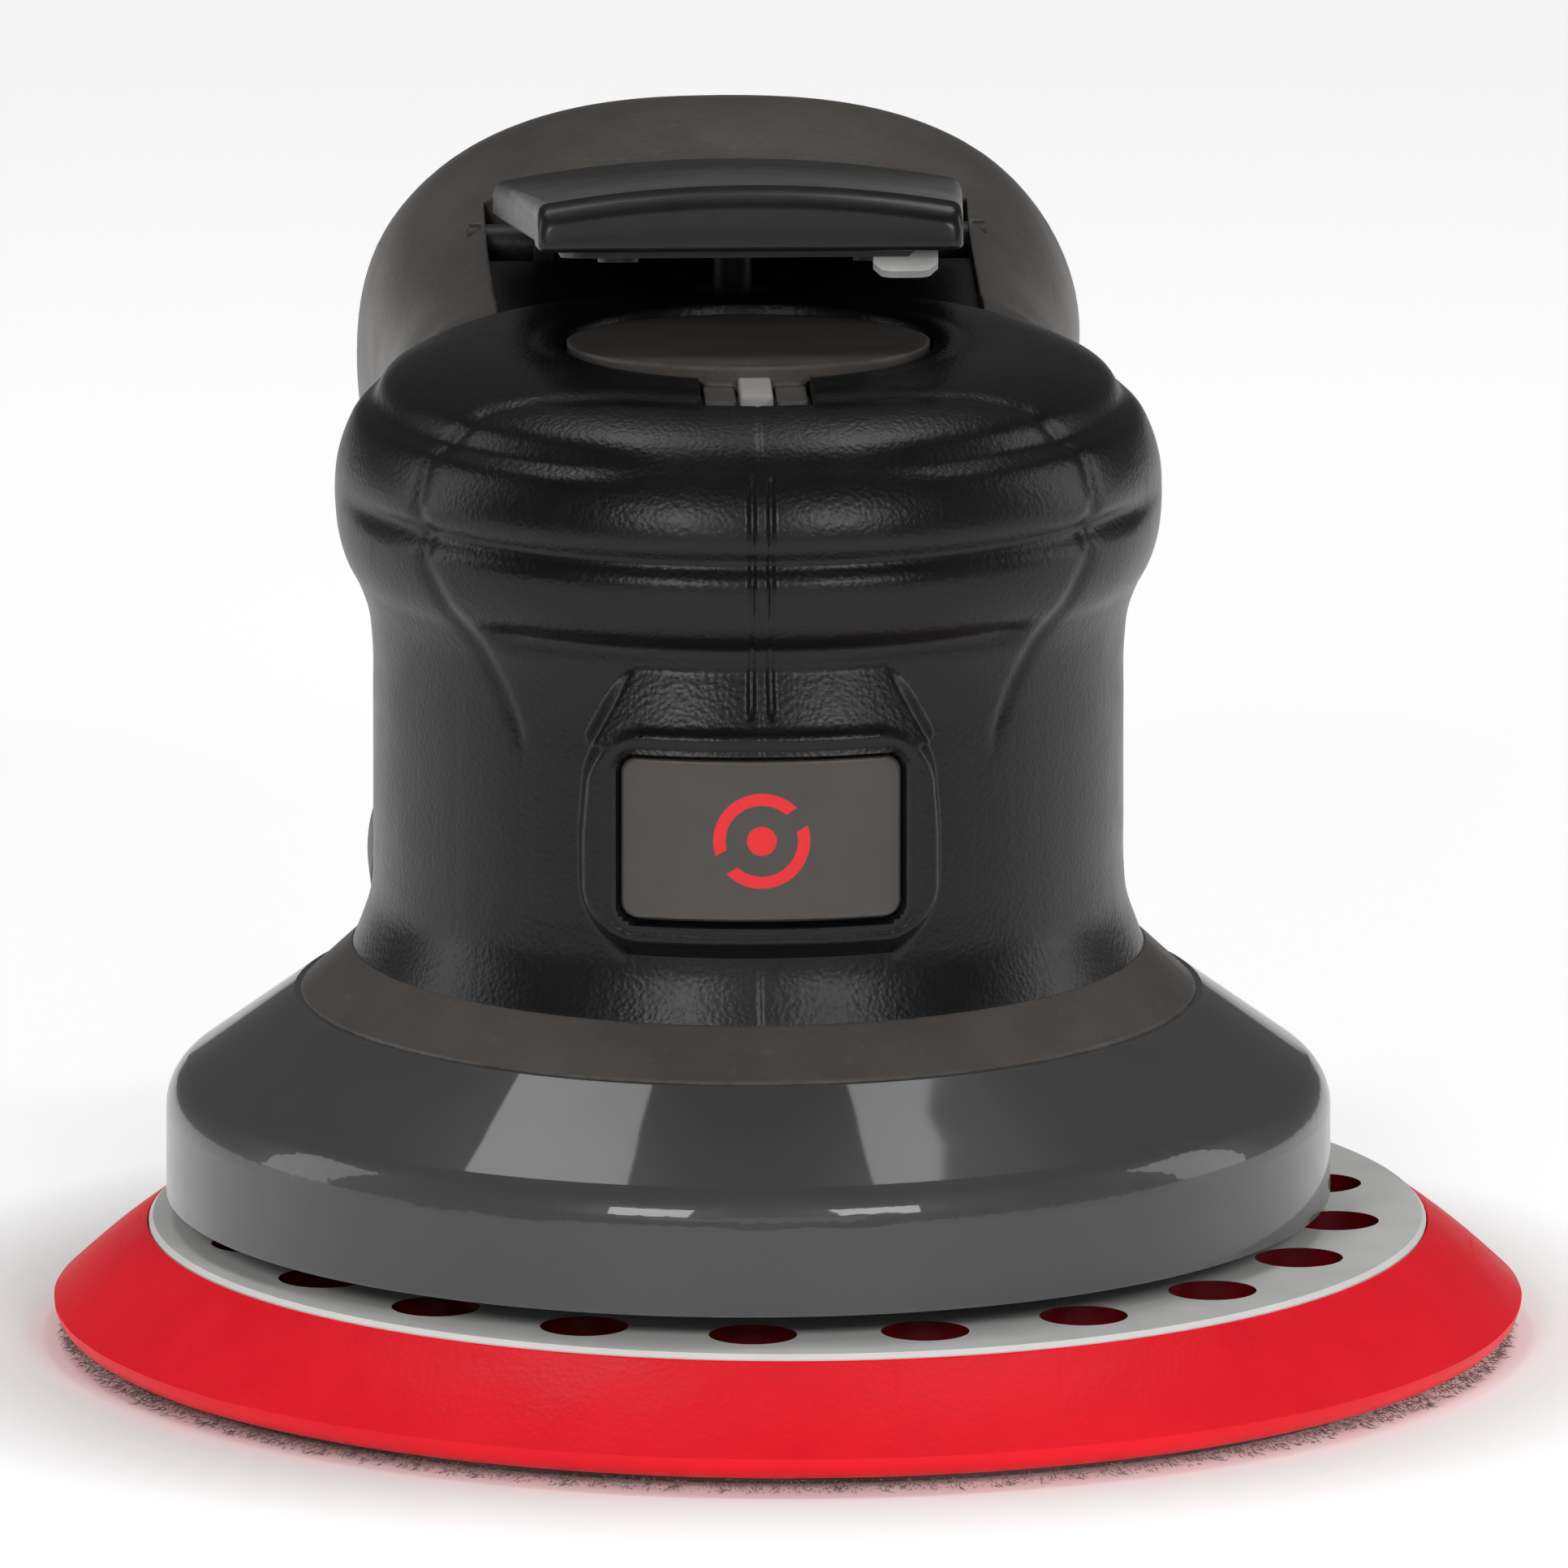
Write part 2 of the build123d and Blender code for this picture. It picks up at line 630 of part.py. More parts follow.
# ---------------------------------------------------------------- shroud
def make_shroud():
    """Turned bell with a vertical skirt, rounded shoulder and cone, plus the dust duct."""
    outer = [
        (shroud_r, shroud_bottom),
        (shroud_r, shroud_bottom + shroud_wall_height),
        (flange_r + 0.6, shroud_top),
    ]
    neck_in = skirt_r + slip_fit
    neck_out = neck_in + shroud_neck_wall
    bell = lathe(outer + [(0, shroud_top), (0, shroud_bottom)])
    shoulder = bell.edges().filter_by(GeomType.CIRCLE).sort_by(Axis.Z)
    shoulder = [e for e in shoulder if abs(e.center().Z - shroud_bottom - shroud_wall_height) < 0.1]
    bell = fillet(shoulder, shroud_shoulder_r)
    wall = shroud_wall
    cavity = lathe([
        (shroud_r - wall, shroud_bottom - 1),
        (shroud_r - wall, shroud_bottom + shroud_wall_height - 0.2),
        (shroud_r - wall - 3.0, shroud_bottom + shroud_wall_height + 2.0),
        (neck_out, shroud_top - wall - 0.6),
        (neck_out, shroud_top - shroud_neck_height),
        (0, shroud_top - shroud_neck_height),
        (0, shroud_bottom - 1),
    ])
    hood_y = math.sqrt((shroud_r - shroud_wall) ** 2 - duct_x ** 2) + duct_hood_setback
    duct = domed_rod_y(duct_r, hood_y, duct_end, duct_x, duct_z)
    duct = duct - block(-80, 80, 0, 80, 0, shroud_bottom)
    shroud = bell + duct - cavity - rod(neck_in, shroud_bottom, shroud_top + 1)
    shroud = shroud - domed_rod_y(duct_r - duct_wall, hood_y, duct_end + 1, duct_x, duct_z)
    groove = rod_y(duct_r + 1, duct_end - 2.6, duct_end - 1.4, duct_x, duct_z)
    groove = groove - rod_y(duct_r - 0.8, duct_end - 3, duct_end - 1, duct_x, duct_z)
    return shroud - groove


def make_shroud_seal():
    return Pos(0, 0, seal_z()) * Torus(skirt_r - 0.95, 0.95)


# ---------------------------------------------------------------- tail
def tail_bottom_z():
    return port_z - 19.5


def tail_section(y, half_width, low, high, squareness, inset=0.0):
    """Rounded cross-section of the tail at one place along its length."""
    middle = low + (high - low) * 0.46
    points = []
    count = 16
    for i in range(count):
        t = 2 * math.pi * i / count
        c = math.cos(t)
        s = math.sin(t)
        rise = (high - middle) if s > 0 else (middle - low)
        px = math.copysign(abs(c) ** (2 / squareness), c) * (half_width - inset)
        pz = math.copysign(abs(s) ** (2 / squareness), s) * (rise - inset)
        points.append((px, middle + pz))
    outline = Spline(*points, periodic=True)
    return make_face(Plane.XZ.offset(-y) * outline)


def tail_stations():
    """Place along the tail, half width, heights of the underside and the top, squareness."""
    top = housing_top
    low = tail_bottom_z()
    wide = tail_half_width
    shape = [
        (0.0, wide - 1.0, 0.0, 1.7),
        (0.1, wide - 1.2, 0.0, 1.8),
        (0.2, wide - 1.4, 0.0, 2.0),
        (0.37, wide - 1.5, 0.0, 3.2),
        (0.47, wide - 1.3, 0.0, 6.0),
        (0.58, wide - 0.8, 0.0, 9.3),
        (0.72, wide, 0.6, 6.4),
        (0.84, wide - 1.4, 2.0, 2.4),
        (0.94, wide - 4.0, 3.8, -2.6),
        (1.0, wide - 7.4, 5.8, -8.4),
    ]
    for share, half_width, lift, rise in shape:
        y = tail_front + seam + (tail_length - seam) * share
        blend = min(share / 0.5, 1.0)
        squareness = front_squareness + (rear_squareness - front_squareness) * blend
        yield y, half_width, low + lift, top + rise, squareness


def hollow_front():
    """Place where the tail's hollow starts, at the third station of its length."""
    return list(tail_stations())[2][0]


def tail_screw_tip():
    """Blind end of a tail screw's hole, inside the wall of the motor housing."""
    return math.sqrt(motor_bore_r ** 2 - (tail_screw_x - tail_screw_r) ** 2) + 1.2


def tail_body(inset=0.0, first=0, last=None):
    stations = list(tail_stations())[first:last]
    sections = [tail_section(*station, inset) for station in stations]
    return loft(sections)


def tail_hollow():
    """Room inside the tail, kept clear of the column, the recess floor and the rear wall."""
    hollow = tail_body(tail_wall, 2, 9)
    hollow = hollow & block(-80, 80, neck_housing_r + tail_wall, tail_end - tail_wall, 0, 200)
    under_recess = block(-80, 80, 0, pivot_y + 8, pivot_z - 8, 200)
    return hollow - under_recess


def valve_levels():
    """Foot of the spring, seat, top of the bushing."""
    return port_z - 10.0, port_z + 4.0, pivot_z - 3.0


def lever_hit_z():
    """Height of the lever plate's underside over the valve when the lever is at rest."""
    reach = pivot_y - valve_y
    under = lever_under - lever_plate_thickness
    tilt = math.radians(lever_tilt)
    return pivot_z + under / math.cos(tilt) + (reach - valve_stem_r) * math.tan(tilt)


def make_tail_parts():
    column_body = housing_column()
    split = tail_bottom_z() + tail_cover_height
    whole = tail_body()
    shell = whole - tail_hollow()
    upper_half = block(-80, 80, 0, 200, split, 200)
    lower_half = block(-80, 80, 0, 200, 0, split - seam)
    tail = shell & upper_half
    cover = shell & lower_half
    spring_foot, seat, bush_top = valve_levels()
    inner = whole & upper_half
    bosses = rod_y(inlet_boss_r, valve_y - 2.5, tail_end - 1, inlet_x, port_z)
    bosses = bosses + rod(valve_boss_r, split, pivot_z - 5, 0, valve_y)
    bosses = bosses + block(0, inlet_x - 2, valve_y - 3, valve_y + 5, port_z - 6, port_z + 6)
    bosses = bosses + rod_y(valve_boss_r - 2, neck_housing_r + 2, valve_y, 0, port_z)
    for side in (-1, 1):
        for y in cover_screw_rows():
            bosses = bosses + rod(4.0, split, split + 14, side * cover_screw_x, y)
    tail = tail + (bosses & inner)
    tail = tail - recess_space()
    tail = tail - rod_x(pin_r, -pin_half_length, pin_half_length, pivot_y, pivot_z)
    tail = tail - rod(valve_bush_r, seat - 1, pivot_z + 5, 0, valve_y)
    tail = tail - rod(valve_chamber_r, spring_foot, seat, 0, valve_y)
    tail = tail - rod_y(inlet_bore_r, tail_end - inlet_bushing_length, tail_end + 5, inlet_x, port_z)
    tail = tail - rod_y(inlet_passage_r, valve_y, tail_end - 5, inlet_x, port_z)
    tail = tail - rod_x(3.0, 0, inlet_x, valve_y, port_z - 3)
    tail = tail - rod_y(3.0, 20, valve_y, 0, port_z + 1)
    tail = tail - rod_y(exhaust_bore_r, tail_end - 30, tail_end + 5, exhaust_x, port_z)
    tail = tail - rod(regulator_spool_r + running_fit, split - 1, port_z + inlet_passage_r, inlet_x, regulator_y)
    for x, z in tail_screw_places():
        tail = tail - rod_y(tail_screw_r, 20, 60, x, z)
        tail = tail - rod_y(tail_screw_head_r + seam, hollow_front(), hollow_front() + 4, x, z)
    for side in (-1, 1):
        for y in cover_screw_rows():
            tail = tail - rod(cover_screw_r, split - 1, split + 10, side * cover_screw_x, y)
    tail = tail - column_body - block(-80, 80, 0, tail_front + seam / 2, 0, 200)
    cover = cover - column_body
    cover = cover - rod(regulator_spool_r + 0.3, 0, split + 1, inlet_x, regulator_y)
    for side in (-1, 1):
        for y in cover_screw_rows():
            cover = cover - rod(cover_screw_r + slip_fit, 0, split + 1, side * cover_screw_x, y)
            cover = cover - rod(3.0, 0, tail_bottom_z() + 2.6, side * cover_screw_x, y)
    return tail, cover


def cover_screw_rows():
    return (tail_front + 0.27 * tail_length, tail_front + 0.8 * tail_length)


def recess_space():
    """Slot that the throttle paddle lies in, with a deeper well for its pivot."""
    half = recess_half_width
    slot = block(-half, half, 0, pivot_y + 1.6, pivot_z, 200)
    well = block(-half, half, pivot_y - 7, pivot_y + 5, pivot_z - 5, pivot_z + 5)
    floor = block(-half, half, 0, pivot_y - 7, pivot_z - 2, pivot_z + 1)
    return slot + well + floor


def make_recess_liner():
    """Rubber mat on the recess floor under the lever."""
    mat = block(-recess_half_width + slip_fit, recess_half_width - slip_fit, tail_front + 1, pivot_y - 8,
                pivot_z - 2, pivot_z - 0.2)
    mat = mat - housing_column()
    return mat - rod(valve_bush_r + 0.5, pivot_z - 3, pivot_z + 1, 0, valve_y)


def make_cover_screws():
    split = tail_bottom_z() + tail_cover_height
    for side in (-1, 1):
        for y in cover_screw_rows():
            x = side * cover_screw_x
            head = rod(2.8, tail_bottom_z() + 0.8, tail_bottom_z() + 2.6, x, y)
            yield head + rod(cover_screw_r, tail_bottom_z() + 2.6, split + 9, x, y)


def make_tail_screws():
    """Cap screws that pull the tail onto the motor housing."""
    head_y = hollow_front()
    for x, z in tail_screw_places():
        shank = rod_y(tail_screw_r, tail_screw_tip() + 0.5, head_y, x, z)
        yield shank + rod_y(tail_screw_head_r, head_y, head_y + tail_screw_head_height, x, z)


# ---------------------------------------------------------------- throttle lever
def lever_place():
    """From the lever's own frame (pivot at the origin, front along -Y) to the tool."""
    return Pos(0, pivot_y, pivot_z) * Rot(-lever_tilt, 0, 0)


def paddle_plan(front, rear, front_half, rear_half):
    outline = Polyline((-front_half, front), (front_half, front), (rear_half, rear), (-rear_half, rear),
                       close=True)
    return make_face(outline)


def crowned_bar(half_width, under, middle_top, crown, front, rear):
    """Bar along Y with a flat underside and an arched top."""
    edges = [
        Line((-half_width, under), (half_width, under)),
        Line((half_width, under), (half_width, middle_top - crown)),
        ThreePointArc((half_width, middle_top - crown), (0, middle_top), (-half_width, middle_top - crown)),
        Line((-half_width, middle_top - crown), (-half_width, under)),
    ]
    face = make_face(Plane.XZ.offset(-front) * Wire(edges))
    return extrude(face, rear - front, dir=(0, 1, 0))


def make_paddle():
    front = -lever_reach
    rear = -2.0
    top = lever_under + lever_thickness
    bar = crowned_bar(lever_rear_half_width + 1, lever_under, top, lever_crown, front, rear)
    plan = extrude(paddle_plan(front, rear, lever_front_half_width, lever_rear_half_width), 30)
    paddle = bar & plan
    skin = lever_skin
    pocket_bar = crowned_bar(lever_rear_half_width, lever_under - 1, top - skin, lever_crown, front + skin, rear - 6)
    pocket_plan = extrude(paddle_plan(front + skin + 1.5, rear - 6, lever_front_half_width - skin,
                                      lever_rear_half_width - skin - 0.5), 30)
    paddle = paddle - (pocket_bar & pocket_plan)
    for x, y in lever_rivet_places():
        paddle = paddle + (rod(3.0, lever_under, top, x, y) & bar)
        paddle = paddle - rod(1.2, 0, lever_under + 1.6, x, y)
    ears = rod_x(lever_ear_r + seam, -lever_rear_half_width - 2, lever_rear_half_width + 2, 0, 0)
    return lever_place() * (paddle - ears)


def lever_rivet_places():
    return [(-13.0, -lever_reach + 16), (13.0, -lever_reach + 16), (0.0, -lever_reach + 48)]


def make_lever_plate():
    half = lever_plate_half_width
    front = -lever_reach + 7
    low = lever_under - lever_plate_thickness
    plate = block(-half, half, front, 0, low, lever_under)
    corner_edges = [e for e in plate.edges().filter_by(Axis.Z) if e.center().Y < front + 1]
    plate = fillet(corner_edges, 4.0)
    for side in (-1, 1):
        ear = rod_x(lever_ear_r, side * half - 1.0, side * half + 1.0, 0, 0)
        lug = block(side * half - 1.0, side * half + 1.0, -14, 0, low - 0.6, lever_under)
        plate = plate + ear + lug
    eye = rod_x(lever_ear_r - 0.9, -half, half, 0, 0)
    plate = plate + eye
    plate = plate - rod_x(pin_r + running_fit, -half - 5, half + 5, 0, 0)
    for x, y in lever_rivet_places():
        plate = plate - rod(1.2, low - 1, lever_under + 1, x, y)
    return lever_place() * plate


def make_lever_rivets():
    low = lever_under - lever_plate_thickness
    for x, y in lever_rivet_places():
        rivet = rod(1.2, low, lever_under + 1.5, x, y) + rod(2.1, low - 0.7, low, x, y)
        yield lever_place() * rivet


# ---------------------------------------------------------------- throttle valve
def make_valve_bushing():
    spring_foot, seat, bush_top = valve_levels()
    bush = rod(valve_bush_r, seat, bush_top, 0, valve_y)
    bush = bush - rod(valve_stem_r + running_fit, seat, bush_top + 1, 0, valve_y)
    bush = bush - rod(valve_stem_r + 1.2, seat - 1, seat + 6, 0, valve_y)
    return bush - rod_y(1.6, valve_y - 8, valve_y, 0, seat + 3)


def make_valve_stem():
    """Push rod with the valve disc at its lower end."""
    spring_foot, seat, bush_top = valve_levels()
    stem = rod(valve_stem_r, seat - poppet_height, lever_hit_z() - 0.1, 0, valve_y)
    stem = stem + rod(valve_chamber_r - 0.8, seat - poppet_height - 0.2, seat - 0.8, 0, valve_y)
    return stem


def make_valve_seal():
    spring_foot, seat, bush_top = valve_levels()
    return Pos(0, valve_y, seat - 0.42) * (Cylinder(valve_chamber_r - 1.0, 0.7) - Cylinder(valve_stem_r, 0.7))


def make_valve_spring():
    """Coil spring under the valve disc, modelled as a stack of rings joined by a riser."""
    spring_foot, seat, bush_top = valve_levels()
    top = seat - poppet_height - 0.2
    coil_r = valve_chamber_r - 1.6
    height = top - spring_foot - 2 * spring_wire_r
    path = Helix(height / spring_turns, height, coil_r)
    section = Plane(origin=path @ 0, z_dir=path % 0) * Circle(spring_wire_r)
    return Pos(0, valve_y, spring_foot + spring_wire_r) * sweep(section, path=path)


# ---------------------------------------------------------------- air inlet, exhaust and regulator
def make_inlet_bushing():
    start = tail_end - inlet_bushing_length
    bush = rod_y(inlet_bore_r, start, tail_end, inlet_x, port_z)
    hexagon = extrude(RegularPolygon(inlet_flange_r - 0.4, 6, major_radius=False), inlet_flange_height)
    bush = bush + Pos(inlet_x, tail_end + 1 + inlet_flange_height, port_z) * Rot(90, 0, 0) * hexagon
    bush = bush + rod_y(inlet_bore_r, tail_end - 1, tail_end + 2, inlet_x, port_z)
    mouth = tail_end + 1 + inlet_flange_height
    bush = bush - rod_y(inlet_thread_r, mouth - inlet_thread_length, mouth + 1, inlet_x, port_z)
    return bush - rod_y(4.2, start - 1, mouth, inlet_x, port_z)


def make_inlet_seal():
    ring = rod_y(inlet_bore_r + 1.6, tail_end, tail_end + 1, inlet_x, port_z)
    return ring - rod_y(inlet_bore_r, tail_end - 1, tail_end + 2, inlet_x, port_z)


def make_inlet_screen():
    """Woven strainer cup pressed into the bottom of the inlet thread."""
    seat = tail_end + 1 + inlet_flange_height - inlet_thread_length
    cup = rod_y(4.2, seat - 7, seat, inlet_x, port_z) - rod_y(3.7, seat - 6.4, seat + 1, inlet_x, port_z)
    return cup


def make_muffler():
    felt = rod_y(exhaust_bore_r - 0.2, tail_end - muffler_length, tail_end - 1, exhaust_x, port_z)
    return felt - rod_y(4.0, tail_end - muffler_length - 1, tail_end - 6, exhaust_x, port_z)


def make_exhaust_cover():
    cover = rod_y(exhaust_cover_r, tail_end, tail_end + exhaust_cover_height, exhaust_x, port_z)
    cover = cover - rod_y(exhaust_cover_r - 1.6, tail_end - 1, tail_end + 1, exhaust_x, port_z)
    for i in range(5):
        z = port_z + (i - 2) * 3.8
        reach = math.sqrt((exhaust_cover_r - 2.6) ** 2 - (z - port_z) ** 2)
        cover = cover - block(exhaust_x - reach, exhaust_x + reach, tail_end, tail_end + 5, z - 0.8, z + 0.8)
    return cover


def make_regulator_spool():
    split = tail_bottom_z() + tail_cover_height
    spool = rod(regulator_spool_r, tail_bottom_z() - 1, port_z + inlet_passage_r - 0.3, inlet_x, regulator_y)
    spool = spool - rod_y(inlet_passage_r - 2.0, regulator_y - 8, regulator_y + 8, inlet_x, port_z)
    clip_z = split - 1.1
    spool = spool - (rod(regulator_spool_r + 1, clip_z, clip_z + 1.0, inlet_x, regulator_y)
                     - rod(regulator_spool_r - 0.8, clip_z - 1, clip_z + 2, inlet_x, regulator_y))
    return spool


def make_regulator_clip():
    clip_z = tail_bottom_z() + tail_cover_height - 1.1
    clip = tube(regulator_spool_r + 2.0, regulator_spool_r - 0.8, clip_z + 0.1, clip_z + 0.9, inlet_x, regulator_y)
    return clip - block(inlet_x - 2, inlet_x + 2, regulator_y, regulator_y + 9, clip_z - 1, clip_z + 2)


def make_regulator_knob():
    """Fluted dial under the tail."""
    top = tail_bottom_z() - 0.6
    low = top - regulator_knob_height
    knob = rod(regulator_knob_r, low, top, inlet_x, regulator_y)
    for x, y in around(12, regulator_knob_r + 0.7):
        knob = knob - rod(1.5, low - 1, top + 1, inlet_x + x, regulator_y + y)
    return knob - rod(regulator_spool_r, low + 2, top + 1, inlet_x, regulator_y)


# ---------------------------------------------------------------- dust spigot
def make_spigot():
    """Collar that turns on the duct, stepping down to the hose spigot."""
    end = collar_start + collar_length
    body = rod_y(collar_r, collar_start, end, duct_x, duct_z)
    body = body + rod_y(spigot_r, end - 1, end + spigot_length, duct_x, duct_z)
    body = body - rod_y(duct_r + slip_fit, collar_start - 1, duct_end + 0.6, duct_x, duct_z)
    body = body - rod_y(spigot_r - spigot_wall, collar_start, end + spigot_length + 1, duct_x, duct_z)
    return body


def make_spigot_ring():
    """Snap ring in the duct's groove."""
    ring = rod_y(duct_r + 0.05, duct_end - 2.5, duct_end - 1.5, duct_x, duct_z)
    ring = ring - rod_y(duct_r - 0.75, duct_end - 3, duct_end - 1, duct_x, duct_z)
    return ring - block(duct_x - 2, duct_x + 2, duct_end - 4, duct_end, duct_z, duct_z + duct_r + 2)


# ---------------------------------------------------------------- build every node
def build_pad():
    save(make_hook_face(), "hook_face")
    save(make_foam(), "pad_foam")
    save(make_plate(), "pad_plate")
    save(make_hub(), "pad_hub")
    save(group(make_rivets()), "pad_rivets")
    save(make_spindle(), "spindle")
    save(tube(retaining_washer_r, retaining_screw_r, race_top_z, washer_top, orbit_offset), "spindle_washer")
    save(make_retaining_screw(), "spindle_screw")


def build_bearings():
    lower = bearing(spindle_bearing_bore, spindle_bearing_od, lower_race_z, spindle_bearing_width, 11, orbit_offset)
    upper = bearing(spindle_bearing_bore, spindle_bearing_od, upper_race_z, spindle_bearing_width, 11, orbit_offset)
    save(group([lower[0], upper[0]]), "spindle_bearing_inner_rings")
    save(group([lower[1], upper[1]]), "spindle_bearing_outer_rings")
    save(group(lower[2] + upper[2]), "spindle_bearing_balls")
    save(group([lower[3], upper[3]]), "spindle_bearing_cages")
    motor_sets = [
        ("lower", shaft_lower_bore, lower_bearing_od, lower_bearing_z, lower_bearing_width, 9),
        ("upper", shaft_upper_bore, upper_bearing_od, upper_bearing_z, upper_bearing_width, 8),
    ]
    for name, bore, outer, z0, width, balls in motor_sets:
        inner, outer_ring, ball_set, cage = bearing(bore, outer, z0, width, balls)
        save(inner, f"{name}_bearing_inner_ring")
        save(outer_ring, f"{name}_bearing_outer_ring")
        save(group(ball_set), f"{name}_bearing_balls")
        save(cage, f"{name}_bearing_cage")


def build_motor():
    save(make_eccentric_shaft(), "eccentric_shaft")
    save(make_snap_ring(), "spindle_bearing_clip")
    save(make_rotor(), "rotor")
    save(group(make_vanes()), "rotor_vanes")
    save(make_key(), "rotor_key")
    save(make_cylinder(), "motor_cylinder")
    save(make_lower_plate(), "lower_end_plate")
    save(make_upper_plate(), "upper_end_plate")
    save(group(make_locating_pins()), "cylinder_pins")
    save(make_lock_ring(), "lock_ring")
    save(make_wave_washer(), "wave_washer")


def build_outside():
    save(make_motor_housing(), "motor_housing")
    save(make_grip(), "rubber_grip")
    save(make_badge(), "badge_plate")
    save(make_shroud(), "dust_shroud")
    save(make_shroud_seal(), "shroud_seal")
    tail, cover = make_tail_parts()
    save(tail, "tail_housing")
    save(cover, "tail_cover")
    save(make_recess_liner(), "lever_mat")
    save(group(make_cover_screws()), "cover_screws")
    save(group(make_tail_screws()), "tail_screws")


def build_controls():
    save(make_paddle(), "throttle_paddle")
    save(make_lever_plate(), "lever_plate")
    save(group(make_lever_rivets()), "lever_rivets")
    save(rod_x(pin_r, -pin_half_length, pin_half_length, pivot_y, pivot_z), "lever_pin")
    save(make_valve_bushing(), "valve_bushing")
    save(make_valve_stem(), "valve_stem")
    save(make_valve_seal(), "valve_seal")
    save(make_valve_spring(), "valve_spring")
    save(make_inlet_bushing(), "inlet_bushing")
    save(make_inlet_seal(), "inlet_seal")
    save(make_inlet_screen(), "inlet_screen")
    save(make_muffler(), "muffler_felt")
    save(make_exhaust_cover(), "exhaust_cover")
    save(make_regulator_spool(), "regulator_spool")
    save(make_regulator_clip(), "regulator_clip")
    save(make_regulator_knob(), "regulator_knob")
    save(make_spigot(), "dust_spigot")
    save(make_spigot_ring(), "spigot_ring")


build_pad()
build_bearings()
build_motor()
build_outside()
build_controls()
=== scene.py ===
# Palm-grip orbital air tool with dust shroud and disc pad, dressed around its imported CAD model.
import bpy, bmesh, math
import numpy as np
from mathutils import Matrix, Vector


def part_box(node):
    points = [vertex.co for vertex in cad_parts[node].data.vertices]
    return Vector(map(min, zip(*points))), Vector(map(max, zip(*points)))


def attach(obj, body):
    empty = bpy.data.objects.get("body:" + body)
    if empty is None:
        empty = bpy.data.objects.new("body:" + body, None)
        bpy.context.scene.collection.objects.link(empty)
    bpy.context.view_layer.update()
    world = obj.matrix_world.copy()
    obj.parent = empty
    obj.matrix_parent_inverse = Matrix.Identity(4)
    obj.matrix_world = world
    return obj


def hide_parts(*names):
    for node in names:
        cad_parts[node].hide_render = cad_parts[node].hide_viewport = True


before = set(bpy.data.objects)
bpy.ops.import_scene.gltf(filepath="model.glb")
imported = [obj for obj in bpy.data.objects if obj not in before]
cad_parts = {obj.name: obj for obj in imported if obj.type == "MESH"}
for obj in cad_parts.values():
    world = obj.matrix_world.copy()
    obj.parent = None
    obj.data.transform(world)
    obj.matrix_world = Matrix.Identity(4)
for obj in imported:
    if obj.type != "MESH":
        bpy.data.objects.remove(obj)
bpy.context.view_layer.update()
mm = 0.001
finishes = {}


def corners(node):
    # lowest and highest corner of a CAD node, in millimetres
    low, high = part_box(node)
    return np.array(low) / mm, np.array(high) / mm


# ---- node groups shared by the materials

def newGroup(name, inputs, outputs):
    # empty shader node group; inputs and outputs are (name, kind, default) and (name, kind)
    group = bpy.data.node_groups.new(name, "ShaderNodeTree")
    for label, kind, value in inputs:
        socket = group.interface.new_socket(name=label, in_out="INPUT", socket_type="NodeSocket" + kind)
        socket.default_value = value
    for label, kind in outputs:
        group.interface.new_socket(name=label, in_out="OUTPUT", socket_type="NodeSocket" + kind)
    start = group.nodes.new("NodeGroupInput")
    end = group.nodes.new("NodeGroupOutput")
    return group, start.outputs, end.inputs


def doMath(tree, operation, first, second=None, third=None, clamp=False):
    # one maths node; each term is a number or a socket
    node = tree.nodes.new("ShaderNodeMath")
    node.operation = operation
    node.use_clamp = clamp
    for slot, term in zip(node.inputs, (first, second, third)):
        if term is None:
            continue
        if isinstance(term, (int, float)):
            slot.default_value = term
        else:
            tree.links.new(term, slot)
    return node.outputs[0]


def stretch(tree, value, low, high, outLow=0.0, outHigh=1.0):
    # value carried from low..high to outLow..outHigh and held at the ends
    node = tree.nodes.new("ShaderNodeMapRange")
    tree.links.new(value, node.inputs[0])
    for slot, number in zip(list(node.inputs)[1:5], (low, high, outLow, outHigh)):
        if isinstance(number, (int, float)):
            slot.default_value = number
        else:
            tree.links.new(number, slot)
    return node.outputs[0]


def noise(tree, vector, scale, detail=3.0, rough=0.55):
    node = tree.nodes.new("ShaderNodeTexNoise")
    tree.links.new(vector, node.inputs["Vector"])
    if isinstance(scale, (int, float)):
        node.inputs["Scale"].default_value = scale
    else:
        tree.links.new(scale, node.inputs["Scale"])
    node.inputs["Detail"].default_value = detail
    node.inputs["Roughness"].default_value = rough
    return node.outputs[0]


def mixColour(tree, share, first, second):
    # first and second blended by share; each colour is a socket or three numbers
    node = tree.nodes.new("ShaderNodeMix")
    node.data_type = "RGBA"
    if isinstance(share, (int, float)):
        node.inputs[0].default_value = share
    else:
        tree.links.new(share, node.inputs[0])
    for slot, colour in ((node.inputs[6], first), (node.inputs[7], second)):
        if isinstance(colour, tuple):
            slot.default_value = (*colour, 1.0)
        else:
            tree.links.new(colour, slot)
    return node.outputs[2]


